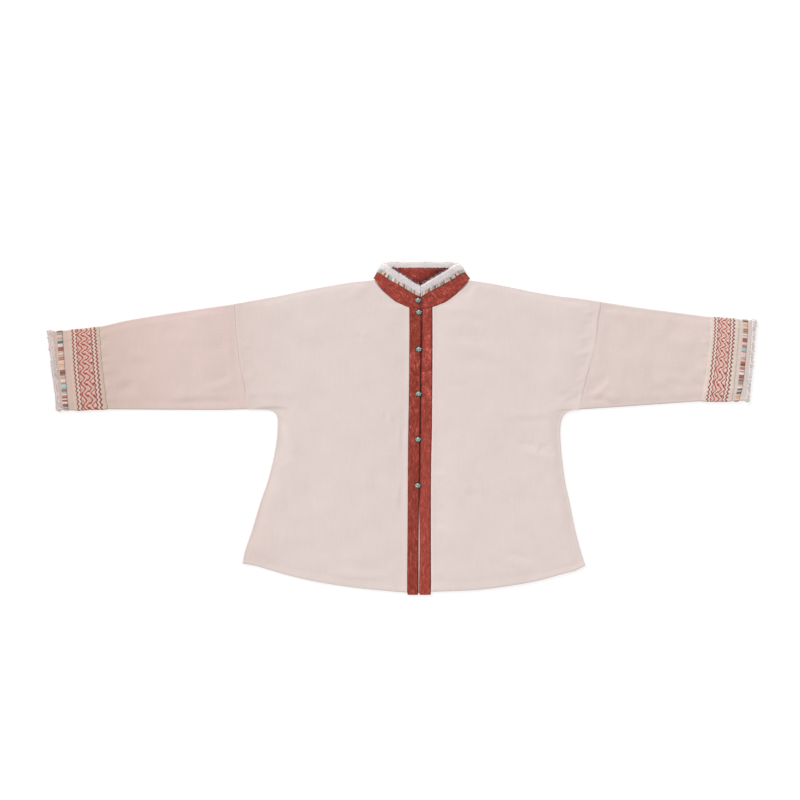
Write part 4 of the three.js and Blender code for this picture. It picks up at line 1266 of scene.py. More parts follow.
def border_yarn(row, out, edge, way):
    """A border's yarn, by how many ends a cell is from the field and from the ribbon's edge: a
    zigzag beside the field, a white line, a second zigzag, and the picot edge. Both borders' lines
    sway the same way, which is outwards (1) on one side of the field and inwards (-1) on the
    other."""
    if edge < 2:
        return "straw" if (row + edge) % 5 < 2 else "cream"
    sway = BORDER_SWAY[row % len(BORDER_SWAY)]
    at = out - sway if way > 0 else out + sway - 2
    if -2 < at < 2 or 7 <= at < 10:
        return "dark" if sway < 1 else ("brown" if sway > 1 else "red")
    if 3 <= at < 6:
        return "white"
    if at >= 11:
        return "straw" if (row * 3 + out * 5) % 11 == 0 else "cream"
    return "ground"


def chart_cells(rows):
    """The chart's yarns, over as many rows as are woven, with the wrist on the left."""
    left_ends = range(LEFT_BORDER_ENDS)
    right_ends = range(RIGHT_BORDER_ENDS)
    woven = []
    for row in range(rows):
        left = [border_yarn(row, left_ends[-1] - end, end, -1) for end in left_ends]
        field = [field_yarn(row, end) for end in range(FIELD_ENDS)]
        right = [border_yarn(row, end, right_ends[-1] - end, 1) for end in right_ends]
        woven.append(left + field + right)
    return np.array(woven)


def make_cuff_band(side, finish):
    ring, start = trim_ring(side, -3, CHART_ROW)
    size = len(ring[0])
    # The chart's rows run down the picture, so they start at the top fold.
    order = (start - np.arange(size)) % size
    cells = chart_cells(size)[(order - 1 + ROW_SHIFT[side]) % size]
    cells = cells if side == "right" else cells[:, ::-1]
    raised = np.isin(cells, RAISED).astype(float)
    corner = np.zeros((size, CHART_WIDTH + 1))
    corner[:, :-1] += raised / 4
    corner[:, 1:] += raised / 4
    corner = corner + np.roll(corner, 1, axis=0)
    line_run = np.arange(CHART_WIDTH + 1)
    edge = np.minimum(line_run, line_run[::-1])
    thin = EDGE_THINNING * np.exp(-((edge / 2.4) ** 2))
    relief = TRIM_REACH - 0.25 + FLOAT_RISE * corner - thin
    held_at = (0, *ZIGZAG_COLUMNS[side], CHART_WIDTH)
    lines = ("band_near", "zigzag_near", "zigzag_far", "band_far")
    held_on = [cuff_line(side, line, ring) for line in lines]
    # The picot edges waver a little round the sleeve.
    turn = 2 * math.pi * np.arange(size) / size
    waver = EDGE_WAVER * np.sin(23 * turn) * np.sin(9 * turn + 1)
    held_on[0] = held_on[0] - waver
    held_on[3] = held_on[3] + waver
    marks = np.array([np.interp(line_run, held_at, held) for held in zip(*held_on)]).T
    name = f"cuff_band_{side}_woven"
    along = np.arange(size) * CHART_ROW
    band = add_trim(name, side, ring, marks, relief.T, along, finish, "fret_ribbon")
    woven = np.array([[YARNS[yarn] for yarn in line] for line in cells]) * TONED[side]
    woven[np.isin(cells, ["cream", "straw"])] *= TONED_EDGES[side]
    plain = np.full((3, size, 4), 1.0) * np.array(YARNS["ground"])
    colour_faces(band, np.concatenate([woven.transpose(1, 0, 2), plain]).reshape(-1, 4))
    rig.replaces(band, "cuff_band_" + side)
    sleeve = "sleeve_" + side
    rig.sheet(band, flat=BAND_FLATS[side], held="laid", rests_on=[sleeve])


ROW_SHIFT = {"right": -1, "left": 3}
# How much darker or paler each colour is made, on the whole ribbon and on its picot edges
TONED = {"right": (0.91, 0.85, 0.83, 1), "left": (1, 1, 1, 1)}
TONED_EDGES = {"right": (1, 1, 1, 1), "left": (1.07, 1.1, 1.13, 1)}
fret_ribbon = thread_finish_for("fret_ribbon", 0.8, CHART_ROW)
make_cuff_band("right", fret_ribbon)
make_cuff_band("left", fret_ribbon)

# Barred ribbons on the cuffs
# A narrow ribbon of short cords goes round the wrist, between two strips of the sleeve's cotton.
# Its bars change colour every few millimetres, in no regular order.
CORDS = {
    "ink": dye(52, 38, 36), "umber": dye(112, 84, 76), "wine": dye(128, 44, 42),
    "red": dye(176, 76, 66), "rust": dye(196, 112, 84), "orange": dye(218, 164, 128),
    "peach": dye(232, 184, 160), "pink": dye(232, 198, 190), "tan": dye(206, 170, 140),
    "beige": dye(222, 204, 188), "taupe": dye(170, 152, 140), "grey": dye(164, 160, 158),
    "lilac": dye(214, 200, 204), "white": dye(238, 230, 226), "teal": dye(136, 160, 156),
    "turquoise": dye(140, 188, 183),
}
CUFF_BARS = {
    "right": [
        ("ink", 3), ("tan", 2.5), ("ink", 1), ("grey", 2), ("lilac", 2), ("peach", 3.5),
        ("taupe", 3.5), ("turquoise", 4.5), ("wine", 3), ("ink", 2.5), ("lilac", 3),
        ("beige", 4), ("wine", 5), ("red", 1.5), ("wine", 2.5), ("pink", 2), ("red", 0.8),
        ("pink", 2), ("beige", 3), ("taupe", 2.6), ("tan", 3), ("red", 2.6), ("peach", 1.2),
        ("red", 3), ("beige", 4), ("peach", 4.6), ("orange", 5), ("beige", 2), ("peach", 5),
        ("umber", 4), ("ink", 4.5), ("red", 3.6), ("tan", 3.4), ("teal", 4.6), ("white", 2.6),
        ("pink", 4), ("rust", 3), ("turquoise", 8), ("grey", 3), ("wine", 4.6), ("teal", 4),
        ("beige", 4), ("red", 4.6), ("wine", 2), ("white", 2), ("wine", 4.4), ("pink", 4),
        ("umber", 3),
    ],
    "left": [
        ("ink", 4.4), ("peach", 4.6), ("orange", 5), ("beige", 4.4), ("red", 3), ("beige", 1),
        ("red", 3.4), ("taupe", 4), ("white", 3.4), ("red", 1), ("pink", 5), ("wine", 6),
        ("red", 3.4), ("beige", 4.4), ("grey", 2.6), ("red", 4), ("turquoise", 8), ("rust", 2.8),
        ("pink", 4.6), ("lilac", 5.6), ("taupe", 4.8), ("peach", 4.6), ("red", 4), ("ink", 5),
        ("orange", 3.4), ("red", 4.4), ("beige", 3.6), ("red", 1.6), ("white", 5.4),
        ("wine", 6.4), ("red", 1.4), ("beige", 1.2), ("red", 2), ("umber", 2), ("grey", 2.4),
        ("umber", 1.6), ("taupe", 3), ("peach", 2.8), ("white", 4), ("wine", 2), ("ink", 1.4),
        ("turquoise", 4),
    ],
}
CORD_STEP = 0.6
RIBBON_FLATS = {"right": (0.0114, 0.345), "left": (0.0101, 0.35)}


def bar_colours(bars, places):
    """The colour of the cord at each place along a ribbon, whose bars start again at its end. The
    cords are worn pale by uneven amounts, and a thin dark one parts each bar from the next."""
    draw = np.random.default_rng(61)
    ends = np.cumsum([width for _, width in bars])
    at = places % ends[-1]
    found = np.searchsorted(ends, at, side="right")
    colours = np.array([CORDS[bars[i][0]] for i in np.minimum(found, len(bars) - 1)])
    worn = draw.uniform(0.08, 0.3, len(places))[:, None]
    colours = colours * (1 - worn) + np.array(CORDS["beige"]) * worn
    parting = np.min(np.abs(at[:, None] - ends[None, :]), axis=1) < CORD_STEP / 2
    shade = np.where(parting, 0.6, draw.uniform(0.94, 1.12, len(places)))
    return np.concatenate([colours[:, :3] * shade[:, None], colours[:, 3:]], 1)


def make_cuff_ribbon(side, finish):
    ring, columns = trim_ring(side, -2, CORD_STEP)
    size = len(ring[0])
    share = np.linspace(0, 1, 9)[:, None]
    near = cuff_line(side, "ribbon_near", ring)
    far = cuff_line(side, "ribbon_far", ring)
    crown = TRIM_REACH - 0.4 + 0.4 * np.sqrt(1 - (2 * share - 1) ** 2)
    cord = 0.12 * np.sin(np.arange(size) * math.pi / 2)
    down = ((columns - np.arange(size)) % size + 2) * CORD_STEP
    marks = near + (far - near) * share
    name = f"cuff_ribbon_{side}_woven"
    ribbon = add_trim(name, side, ring, marks, crown + cord, down, finish, "bar_ribbon")
    bars = bar_colours(CUFF_BARS[side], down)
    colour_faces(ribbon, np.tile(bars, (len(share) + 2, 1)))
    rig.replaces(ribbon, "cuff_ribbon_" + side)
    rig.sheet(ribbon, flat=RIBBON_FLATS[side], held="laid", rests_on=["sleeve_" + side])


bar_ribbon = thread_finish_for("bar_ribbon", 0.6, 2 * CORD_STEP)
make_cuff_ribbon("right", bar_ribbon)
make_cuff_ribbon("left", bar_ribbon)

# Collar
# A stand collar of the same velvet, flattened: its back half lies on the back neck, its front
# halves fold over at the sides and come down to the centre front.
COLLAR_CLOTH = 2.4
COLLAR_NECK_Z = COLLAR_CLOTH / 2
COLLAR_TOP_Z = 5.0
COLLAR_NECK_LAYERS = 3.2
COLLAR_TOP_LAYERS = 6.3
COLLAR_FUR_COVER = 11.5
COLLAR_RIBBON_WIDTH = 8.2
RIBBON_THICKNESS = 0.8
COLLAR_MIDDLE_X = 40
# Each row joins a place on the neck seam to one on the top edge, and `turn` is 180 where the
# outer side is up and 0 where it is down.
COLLAR = table("neck_x neck_y top_x top_y turn", [
    (38.8, 250.6, 38.8, 294.3, 180), (25, 251.6, 27.5, 300.4, 180), (12.7, 253.9, 17.5, 306.8, 180),
    (0, 259.2, 8, 312.8, 180), (-11.1, 264.8, -1.5, 318.8, 180), (-31.5, 280.8, -14, 326.6, 180),
    (-43, 291.8, -22, 331.8, 180), (-52, 304, -31, 338.5, 180), (-56, 312, -36.5, 342.5, 150),
    (-57, 313.2, -38, 344, 120), (-57.4, 313.6, -38.5, 344.6, 90), (-57, 313.4, -38, 345.2, 60),
    (-56, 312.4, -36.5, 345.6, 30), (-50, 309.5, -30, 346, 0), (-25, 300, -12, 346, 0),
    (8, 294, 14, 346, 0), (42, 292, 42, 346, 0), (76, 294, 68, 346, 0), (108, 300, 92, 345.8, 0),
    (132, 308.8, 108, 345, 0), (139, 311.7, 114, 344.2, 30), (140, 312.7, 115.6, 343.6, 60),
    (140.4, 312.9, 116, 343, 90), (140, 312.5, 115.6, 342.2, 120), (139, 311.4, 114, 341, 150),
    (134, 303, 107, 336.5, 180), (121.2, 290, 97.5, 329.8, 180), (107, 276.8, 87, 323.6, 180),
    (89.2, 264.2, 76, 317.2, 180), (76, 258.4, 66, 311.4, 180), (63, 253.9, 57, 306, 180),
    (50, 251.6, 47.5, 300.4, 180), (39.4, 250.6, 39.4, 294.3, 180),
])
COLLAR_STEP = 2.2
COLLAR_CUT = {"flat": (0.056, 0.46), "area": 0.0228}


def collar_rows_at(at):
    """The neck's x and y, the top edge's x and y, and the turn in radians at rows of the collar."""
    neck_x, neck_y, top_x, top_y, turn = (read(column, at) for column in COLLAR.values())
    return neck_x, neck_y, top_x, top_y, np.radians(turn)


def collar_places(step):
    """Rows of the collar, whole or part, about a step apart along the top edge and the folds."""
    fine = np.linspace(0, len(COLLAR["turn"]) - 1, 1200)
    neck_x, neck_y, top_x, top_y, turn = collar_rows_at(fine)
    middles = ((neck_x + top_x) / 2, (neck_y + top_y) / 2, turn * COLLAR_TOP_LAYERS)
    gaps = np.sqrt(sum(np.diff(middle) ** 2 for middle in middles))
    run = np.concatenate([[0], np.cumsum(gaps)])
    marks = np.linspace(0, run[-1], round(run[-1] / step) + 1)
    return np.interp(marks, run, fine), marks


def collar_height(at):
    neck_x, neck_y, top_x, top_y, _ = collar_rows_at(at)
    return np.hypot(top_x - neck_x, top_y - neck_y)


def collar_points(at, down, out):
    """Points of the collar at its rows, `down` from the top edge along the strip and `out` from
    the middle of its velvet towards its outer side."""
    neck_x, neck_y, top_x, top_y, angle = collar_rows_at(at)
    up = 1 - down / collar_height(at)
    rise = np.minimum(up, 1)
    back = COLLAR_NECK_Z + (COLLAR_TOP_Z - COLLAR_NECK_Z) * rise
    radius = (COLLAR_NECK_LAYERS + (COLLAR_TOP_LAYERS - COLLAR_NECK_LAYERS) * rise) / 2
    away = np.where(neck_x < COLLAR_MIDDLE_X, -1, 1)
    x = neck_x + (top_x - neck_x) * up + away * (radius + out) * np.sin(angle)
    y = neck_y + (top_y - neck_y) * up
    return np.stack([x, y, back + radius - (radius + out) * np.cos(angle)], -1)


def collar_strip(name, at, section, finish, slot):
    """A strip that follows the collar. The section gives the places down and out of its cut, over
    the outer side and back inside, for the collar's height at each row."""
    down, out = section(collar_height(at[:, None]))
    rings = collar_points(at[:, None] + 0 * down, down, out)
    return add_skin(name, rings, False, finish, slot)


def there_and_back(over, inside):
    """A section's places over the strip's outer side, and back along its inner side."""
    return np.concatenate([over, inside[:, ::-1]], 1)


VELVET_OUT = COLLAR_CLOTH / 2
CLOSE_TO_NECK = 0.2
RIBBON_FROM = COLLAR_FUR_COVER + SEAM_GAP


def collar_section(height):
    share = np.linspace(0, 1, 24)[None, :]
    down = (height + CLOSE_TO_NECK) * share
    end = np.minimum(down, height + CLOSE_TO_NECK - down)
    out = VELVET_OUT - 0.5 * rounding(end, 0.9)
    return there_and_back(down, down), there_and_back(out, -out)


collar_rows, collar_marks = collar_places(COLLAR_STEP)


def under_the_v(velvet, place):
    """The shade of the right front half on the inner side of the collar's back. It falls off
    square to that half's edge."""
    y = velvet.part(place, 1)
    aside = (velvet.part(place, 0) - 38.6) * 0.515 - (y - 300) * 0.857
    return aside.between(-24, -3) * (1 - aside.between(-1, 0.5)) * y.between(291, 298) * 0.5


COLLAR_NAP = 38
COLLAR_PATCH = 9
collar_velvet = velvet_finish(
    "velvet_collar", dye(155, 66, 56), 0.25, COLLAR_NAP, 0.6, COLLAR_PATCH, 0, under_the_v
)
collar = collar_strip("collar_velvet", collar_rows, collar_section, collar_velvet, "velvet")
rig.replaces(collar, "collar")
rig.sheet(collar, held="folded", rests_on=["back"], **COLLAR_CUT)

# Ribbon on the collar
# The same barred ribbon runs round the collar's outer side, just under the fur.
COLLAR_BARS_RIGHT = [
    ("wine", 2), ("orange", 3), ("peach", 3), ("beige", 3.4), ("taupe", 1.6), ("umber", 2.4),
    ("beige", 3), ("taupe", 1.6), ("grey", 2), ("turquoise", 3.6), ("beige", 2), ("pink", 3),
    ("teal", 3.2), ("beige", 2.6), ("ink", 4.4), ("beige", 2.4), ("umber", 1), ("beige", 3),
    ("pink", 2.6), ("umber", 2.6), ("wine", 1.6), ("peach", 5), ("taupe", 3), ("grey", 3.6),
    ("white", 5), ("grey", 2), ("turquoise", 4), ("teal", 3), ("ink", 3), ("beige", 6),
    ("wine", 4), ("peach", 5), ("taupe", 4), ("turquoise", 5), ("beige", 4), ("umber", 3),
]
COLLAR_BARS_LEFT = [
    ("lilac", 3), ("grey", 1.6), ("white", 2.4), ("pink", 3.4), ("taupe", 1.8), ("peach", 3.6),
    ("umber", 1.6), ("wine", 3), ("umber", 1.8), ("beige", 3.6), ("umber", 1.2), ("beige", 2),
    ("umber", 1.4), ("beige", 1.6), ("ink", 4), ("beige", 2.6), ("teal", 3.2), ("peach", 3),
    ("beige", 1.6), ("teal", 3.6), ("taupe", 2.6), ("umber", 2), ("grey", 2), ("umber", 2.4),
    ("beige", 4.4), ("peach", 3.4), ("tan", 3), ("beige", 3), ("ink", 4), ("turquoise", 4),
    ("beige", 5), ("wine", 4), ("peach", 5), ("taupe", 4), ("turquoise", 5), ("beige", 4),
]
COLLAR_RIBBON_CUT = (0.0101, 0.44)


def collar_ribbon_section(height):
    share = np.linspace(0, 1, 9)[None, :]
    down = RIBBON_FROM + COLLAR_RIBBON_WIDTH * share + 0 * height
    crown = 0.3 * np.sqrt(1 - (2 * share - 1) ** 2) + 0 * height
    out = VELVET_OUT + SEAM_GAP + RIBBON_THICKNESS - 0.3 + crown
    inside = np.full_like(out, VELVET_OUT + SEAM_GAP)
    return there_and_back(down, down), there_and_back(out, inside)


ribbon_rows, ribbon_marks = collar_places(CORD_STEP)
collar_ribbon = collar_strip(
    "collar_ribbon_woven", ribbon_rows, collar_ribbon_section, bar_ribbon, "bar_ribbon"
)
ring_size = len(collar_ribbon.data.vertices) // len(ribbon_rows)
mark_points(collar_ribbon, "along", np.repeat(ribbon_marks, ring_size))
cell_marks = (ribbon_marks[:-1] + ribbon_marks[1:]) / 2
whole = ribbon_marks[-1]
from_right = bar_colours(COLLAR_BARS_RIGHT, cell_marks)
from_left = bar_colours(COLLAR_BARS_LEFT, whole - cell_marks)
cell_bars = np.where((cell_marks < whole / 2)[:, None], from_right, from_left)
ribbon_faces = np.repeat(cell_bars, ring_size, axis=0)
end_faces = len(collar_ribbon.data.polygons) - len(ribbon_faces)
colour_faces(collar_ribbon, np.concatenate([ribbon_faces, np.tile(CORDS["wine"], (end_faces, 1))]))
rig.replaces(collar_ribbon, "collar_ribbon")
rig.sheet(collar_ribbon, flat=COLLAR_RIBBON_CUT, held="laid", rests_on=["collar"])

# Fur on the collar
# A strip of short white fur is folded over the collar's top edge. The hide is thin, and dense
# soft hair stands out of it and leans away from the fold, ragged along both edges.
HAIR_WIDTH = 0.42
HAIR_LOWEST = 0.2
LOCK_SIZE = 3.0
COLLAR_FUR_CUT = {"flat": (0.0275, 0.38), "area": 0.0098}


def fur_finish(name, colour, low_colour=None, low=0):
    """Fur: each hair is a little paler or duller than the next, and its root is darker. It may
    have a second colour below a height on the jacket."""
    # The glow is the light that scatters from hair to hair, which single blades don't pass on.
    lit = {"Sheen_Weight": 0.25, "Sheen_Roughness": 0.5, "Emission_Strength": 0.05}
    fur = Finish(name, Roughness=0.75, Specular_IOR_Level=0.2, **lit)
    hair = fur.node("ShaderNodeAttribute", {"attribute_name": "yarn"})
    clumps = fur.patches(fur.place(), 6, 3)
    wool = fur.patches(fur.place(), 0.6, 2)
    tone = (clumps - 0.5) * 0.06 + (wool - 0.5) * 0.05
    if low_colour is not None:
        colour = fur.mix(fur.part(fur.place(), 1).between(low - 5, low + 5), low_colour, colour)
    tinted = fur.mix(1, hair, colour, "MULTIPLY")
    fur.feed(fur.shader.inputs["Emission Color"], tinted)
    return fur.paint(fur.shaded(tinted, tone), wool, 0.15, 0.5)


def unit(vectors):
    return vectors / np.maximum(np.linalg.norm(vectors, axis=-1, keepdims=True), 1e-9)


def grow_hair(name, place, size, count, hair, seed, finish):
    """Tapered, bent blades of hair in small locks. `place` gives the root for a share along the
    strip and a share round its section, which runs from the outer edge over the fold to the inner
    edge. `size` is the strip's length along and round, in millimetres. `hair` says where the fold
    is, how far hairs lean, sway and stand up, how long they are and how uneven, how much shorter
    at the inner edge (trim) and the fold (short), which way is out, and the painted shade across."""
    draw = np.random.default_rng(seed)
    along = draw.uniform(0, 1, count)
    around = draw.uniform(0, 1, count)
    length_along, length_around = size
    locks_along = round(length_along / LOCK_SIZE)
    locks_around = round(length_around / LOCK_SIZE)
    lock_a = np.minimum(along * locks_along + draw.normal(0, 0.25, count), locks_along - 1)
    lock_a = np.maximum(np.floor(lock_a), 0)
    lock_r = np.clip(np.floor(around * locks_around), 0, locks_around - 1)
    lock = (lock_a * locks_around + lock_r).astype(int)
    lock_draw = draw.normal(0, 1, (locks_along * locks_around, 5))[lock]

    def stance(a, r):
        """Where a hair starts, and the ways outwards, away from the fold, and along the strip."""
        step = 0.002
        root = place(a, r)
        forward = unit(place(a + step, r) - place(a - step, r))
        over = unit(place(a, r + step * 4) - place(a, r - step * 4))
        outward = unit(np.cross(over, forward)) * hair["way"]
        side = np.clip((r - hair["fold"]) * 5, -1, 1)[:, None]
        return root, outward, over * side, forward

    def growth(a, r, loose, spread):
        root, outward, lean, forward = stance(a, r)
        heading = outward * hair["stand"] + lean * hair["lean"] + forward * hair["sway"] * spread
        return root, outward, unit(heading + loose), forward

    sway = lock_draw[:, 3:4] * 0.5
    lock_place = ((lock_a + 0.5) / locks_along, (lock_r + 0.5) / locks_around)
    lock_root, _, lock_way, _ = growth(*lock_place, lock_draw[:, :3] * 0.22, sway)
    own = draw.normal(0, 1, (count, 3))
    root, outward, way, _ = growth(along, around, own * 0.2, sway)
    trimmed = 1 - hair["trim"] * np.clip((around - 0.8) / 0.2, 0, 1)
    reach = hair["length"] * np.clip(1 + 0.22 * lock_draw[:, 4], 0.6, 1.5) * trimmed
    long_waves = 1 + hair["uneven"] * np.sin(along * 41 + 2 * np.sin(along * 17 + seed))
    near_fold = 1 - hair["short"] * np.exp(-(((around - hair["fold"]) / 0.13) ** 2))
    reach = (reach * long_waves * near_fold)[:, None]
    own_reach = reach * draw.uniform(0.75, 1.1, count)[:, None]
    lock_tip = lock_root + lock_way * reach * 1.05
    tip = (root + way * own_reach) * 0.35 + lock_tip * 0.65
    middle = (root + outward * own_reach * 0.3 + tip) / 2
    heading = unit(tip - root)
    upward = unit(outward * 0.25 + np.array([0, 0, 0.9]))
    aside = unit(np.cross(heading, upward) + own * 0.15)
    turned_in = np.sum(np.cross(aside, heading) * upward, axis=1, keepdims=True) < 0
    aside = np.where(turned_in, -aside, aside)
    width = HAIR_WIDTH * draw.uniform(0.7, 1.2, count)[:, None] / 2
    points = np.stack(
        [
            root - aside * width,
            root + aside * width,
            middle + aside * width * 0.8,
            middle - aside * width * 0.8,
            tip,
        ],
        1,
    )
    points[..., 2] = np.maximum(points[..., 2], HAIR_LOWEST)
    number = (np.arange(count) * 5)[:, None]
    blades = np.concatenate(
        [number + [0, 1, 2], number + [0, 2, 3], number + [3, 2, 4]], axis=1
    ).reshape(-1, 3)
    mesh = new_mesh(name, points.reshape(-1, 3), blades)
    shade = draw.uniform(0.94, 1.05, count) + 0.035 * lock_draw[:, 2]
    shade = (shade * np.interp(around, [0.15, 0.7], hair["shades"]))[:, None]
    root_shade = np.array([0.93, 0.93, 1, 1, 1.02])
    tones = np.clip(shade * root_shade, 0.62, 1.03)[..., None] * np.ones(3)
    colour_yarn(mesh, "POINT", np.concatenate([tones, np.ones((count, 5, 1))], -1))
    # The blades are lit as the fur's surface is, and not each by its own flat face.
    soft = unit(upward[:, None] + 0.3 * (points - root[:, None]) / hair["length"])
    mesh.normals_split_custom_set_from_vertices(soft.reshape(-1, 3).tolist())
    return lay_piece(name, mesh, finish, "fur")


# The hide's cut: places down and out from the outer edge, over the fold, to the inner edge
HIDE = table("down out", [
    (11.3, 1.9), (8, 2.5), (4, 2.9), (0.5, 2.9), (-1.6, 1.9), (-2.2, 0.4), (-1.6, -1), (0.5, -1.9),
    (3.5, -2.1), (6.5, -2), (9.6, -1.7),
])
HIDE_HALF = 1.5
hide_last = len(HIDE["down"]) - 1


def hide_section(height):
    at = np.linspace(0, hide_last, 31)
    down = read(HIDE["down"], at)[None, :] + 0 * height
    out = read(HIDE["out"], at)[None, :] + 0 * height
    inner_down = np.maximum(down, -0.3)
    inner_out = np.clip(out, -HIDE_HALF, HIDE_HALF)
    inner_out = np.where(np.abs(out) < HIDE_HALF, np.sign(out + 1e-6) * HIDE_HALF, inner_out)
    return there_and_back(down, inner_down), there_and_back(out, inner_out)


collar_fur_finish = fur_finish("fur_collar", dye(254, 247, 245), dye(245, 237, 238), 334)
collar_hide = collar_strip("collar_fur_hide", collar_rows, hide_section, collar_fur_finish, "fur")
colour_yarn(collar_hide.data, "POINT", np.ones((len(collar_hide.data.vertices), 4)))


def collar_hide_place(along, around):
    """A place on the collar's hide, for shares along the collar and round the hide's section."""
    at = np.interp(np.clip(along, 0, 1) * collar_marks[-1], collar_marks, collar_rows)
    down = read(HIDE["down"], np.clip(around, 0, 1) * hide_last)
    out = read(HIDE["out"], np.clip(around, 0, 1) * hide_last)
    return collar_points(at, down, out)


collar_pile = grow_hair(
    "collar_fur_pile",
    collar_hide_place,
    (collar_marks[-1], 33),
    16000,
    {
        "fold": 0.48, "lean": 1.0, "sway": 0.55, "stand": 0.32, "length": 4.6,
        "way": 1, "trim": 0.6, "uneven": 0.08, "short": 0.45, "shades": (1, 1),
    },
    41,
    collar_fur_finish,
)
# The collar's rows between which its front halves edge the opening, on each side
V_ROWS = ((0.4, 6.1), (25.9, 31.6))


def v_edge_place(along, around):
    """A place on the fold of the two front halves, where the longest hairs stand out, dark ones that paint the shadows
    between the fur's tips.
    """
    right_half = np.interp(along * 2, [0, 1], V_ROWS[0])
    left_half = np.interp(along * 2 - 1, [0, 1], V_ROWS[1])
    at = np.where(along < 0.5, right_half, left_half)
    share = (0.42 + 0.12 * around) * hide_last
    return collar_points(at, read(HIDE["down"], share), read(HIDE["out"], share))


# Dark hairs along the opening's edge, a painted shadow between the ragged tips of the white fur.
collar_painted_shadow_hairs = grow_hair(
    "collar_fur_guard_hairs",
    v_edge_place,
    (150, 4),
    800,
    {
        "fold": 0.5, "lean": 0.25, "sway": 0.8, "stand": 1.0, "length": 5.0,
        "way": 1, "trim": 0.0, "uneven": 0.3, "short": 0.0, "shades": (1, 1),
    },
    43,
    fur_finish("fur_guard_hairs", dye(112, 98, 108)),
)
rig.replaces(collar_hide, "collar_fur")
collar_hair = [collar_pile, collar_painted_shadow_hairs]
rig.sheet(
    collar_hide, held="folded", rests_on=["collar"], with_pieces=collar_hair, **COLLAR_FUR_CUT
)

# Fur on the cuffs
# The same fur edges each wrist. It lies on the sleeve, passes its end and closes in to the
# sleeve's inner face, so that the wrist stays open.

# The hide's cut: a share of its cover on the sleeve, or how many millimetres it is past the
# sleeve's end where it is below 0, and how far out
CUFF_HIDE = table(
    "from_end out",
    [(1, 0.5), (0.85, 1.5), (0.4, 2), (-0.5, 2.1), (-2.4, 1.4), (-3.4, 0), (-3.6, -1.4)],
)
# The cuffs' hide is painted darker, as shade under the hair.
CUFF_HIDE_TONE = 0.86
HAIR_PAST_HIDE = 1.2
CUFF_FUR_CUTS = {"right": (0.0118, 0.345), "left": (0.0102, 0.35)}
# The hairs' painted shade from the hide's edge on the sleeve to its edge inside the wrist
CUFF_SHADES = {"right": (1, 0.74), "left": (0.72, 1)}
cuff_hide_last = len(CUFF_HIDE["out"]) - 1


def make_cuff_fur(side, finish, seed):
    ring = sleeve_ring(56, 8)
    at = np.linspace(0, cuff_hide_last, 15)
    cover = cuff_line(side, "fur", ring) - HAIR_PAST_HIDE
    from_end = read(CUFF_HIDE["from_end"], at)[:, None]
    from_end = np.where(from_end > 0, from_end * cover, from_end + 0 * cover)
    out = read(CUFF_HIDE["out"], at)
    over = sleeve_points(side, ring, from_end, out)
    past = np.array([-2.8, -0.3, -0.3])[:, None] + 0 * cover
    under = sleeve_points(side, ring, np.concatenate([past, [cover]]), [-1.9, -1.9, 0.3, 0.3])
    rings = np.concatenate([over, under])
    hide = add_skin(f"cuff_fur_{side}_hide", rings, True, finish, "fur")
    colour_yarn(hide.data, "POINT", np.tile([*[CUFF_HIDE_TONE] * 3, 1], len(hide.data.vertices)))
    size = len(ring[0])
    index = np.linspace(0, 1, size + 1)
    loop = going_round(over)
    shares = np.linspace(0, 1, len(at))

    def hide_place(along, around):
        """A place on the cuff's hide, read between the points of its mesh."""
        column = np.interp(np.mod(along, 1), index, np.arange(size + 1))
        row = np.interp(np.clip(around, 0, 1), shares, np.arange(len(at)))
        c = np.minimum(column.astype(int), size - 1)
        r = np.minimum(row.astype(int), len(at) - 2)
        cf = (column - c)[:, None]
        rf = (row - r)[:, None]
        near = loop[r, c] * (1 - cf) + loop[r, c + 1] * cf
        far = loop[r + 1, c] * (1 - cf) + loop[r + 1, c + 1] * cf
        return near * (1 - rf) + far * rf

    pile = grow_hair(
        "cuff_fur_pile_" + side,
        hide_place,
        (CUFF_FUR_CUTS[side][1] * 1000, 12),
        9000,
        {
            "fold": 0.35, "lean": 0.9, "sway": 0.5, "stand": 0.32, "length": 4.0,
            "way": OUTWARDS[side], "trim": 0.0, "uneven": 0.2, "short": 0.1,
            "shades": CUFF_SHADES[side],
        },
        seed,
        finish,
    )
    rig.replaces(hide, "cuff_fur_" + side)
    sleeve = "sleeve_" + side
    cut = CUFF_FUR_CUTS[side]
    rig.sheet(hide, flat=cut, held="folded", rests_on=[sleeve], with_pieces=[pile])


make_cuff_fur("right", fur_finish("fur_cuff_right", dye(244, 228, 223)), 51)
make_cuff_fur("left", fur_finish("fur_cuff_left", dye(252, 243, 240)), 52)

# Buttons
# Six pressed metal buttons, enamelled. Each has a round bronze base with an eye at each side, a
# fan of five turquoise petals and a pearly dome towards the neck. One sits on the collar's band
# and leans with it, and five sit on the gap between the front bands.
BUTTON_RADIUS = 6.4
BUTTON_BASE = 1.6
BUTTONS = [(33.6, 268.8), (35.3, 243.6), (35.3, 165.9), (34.7, 72.5), (33.6, -23.1), (33, -119.7)]
PETAL_ANGLES = [-180, -135, -90, -45, 0]


def turned_solid(profile, steps):
    """A solid turned round Z from a profile of radius and height that ends on the axis."""
    angle = np.linspace(0, 2 * math.pi, steps, endpoint=False)
    radius, height = np.array(profile, float).T[..., None]
    x = radius * np.cos(angle)
    points = np.stack([x, radius * np.sin(angle), height + 0 * x], -1).reshape(-1, 3)
    index = np.arange(len(profile) * steps).reshape(len(profile), steps)
    return points, quads(going_round(index))


def ball(length, width, height, rings, steps):
    turn = np.linspace(0.001, math.pi - 0.001, rings)
    points, faces = turned_solid([(math.sin(a), -math.cos(a)) for a in turn], steps)
    return points * np.array([length, width, height]), faces


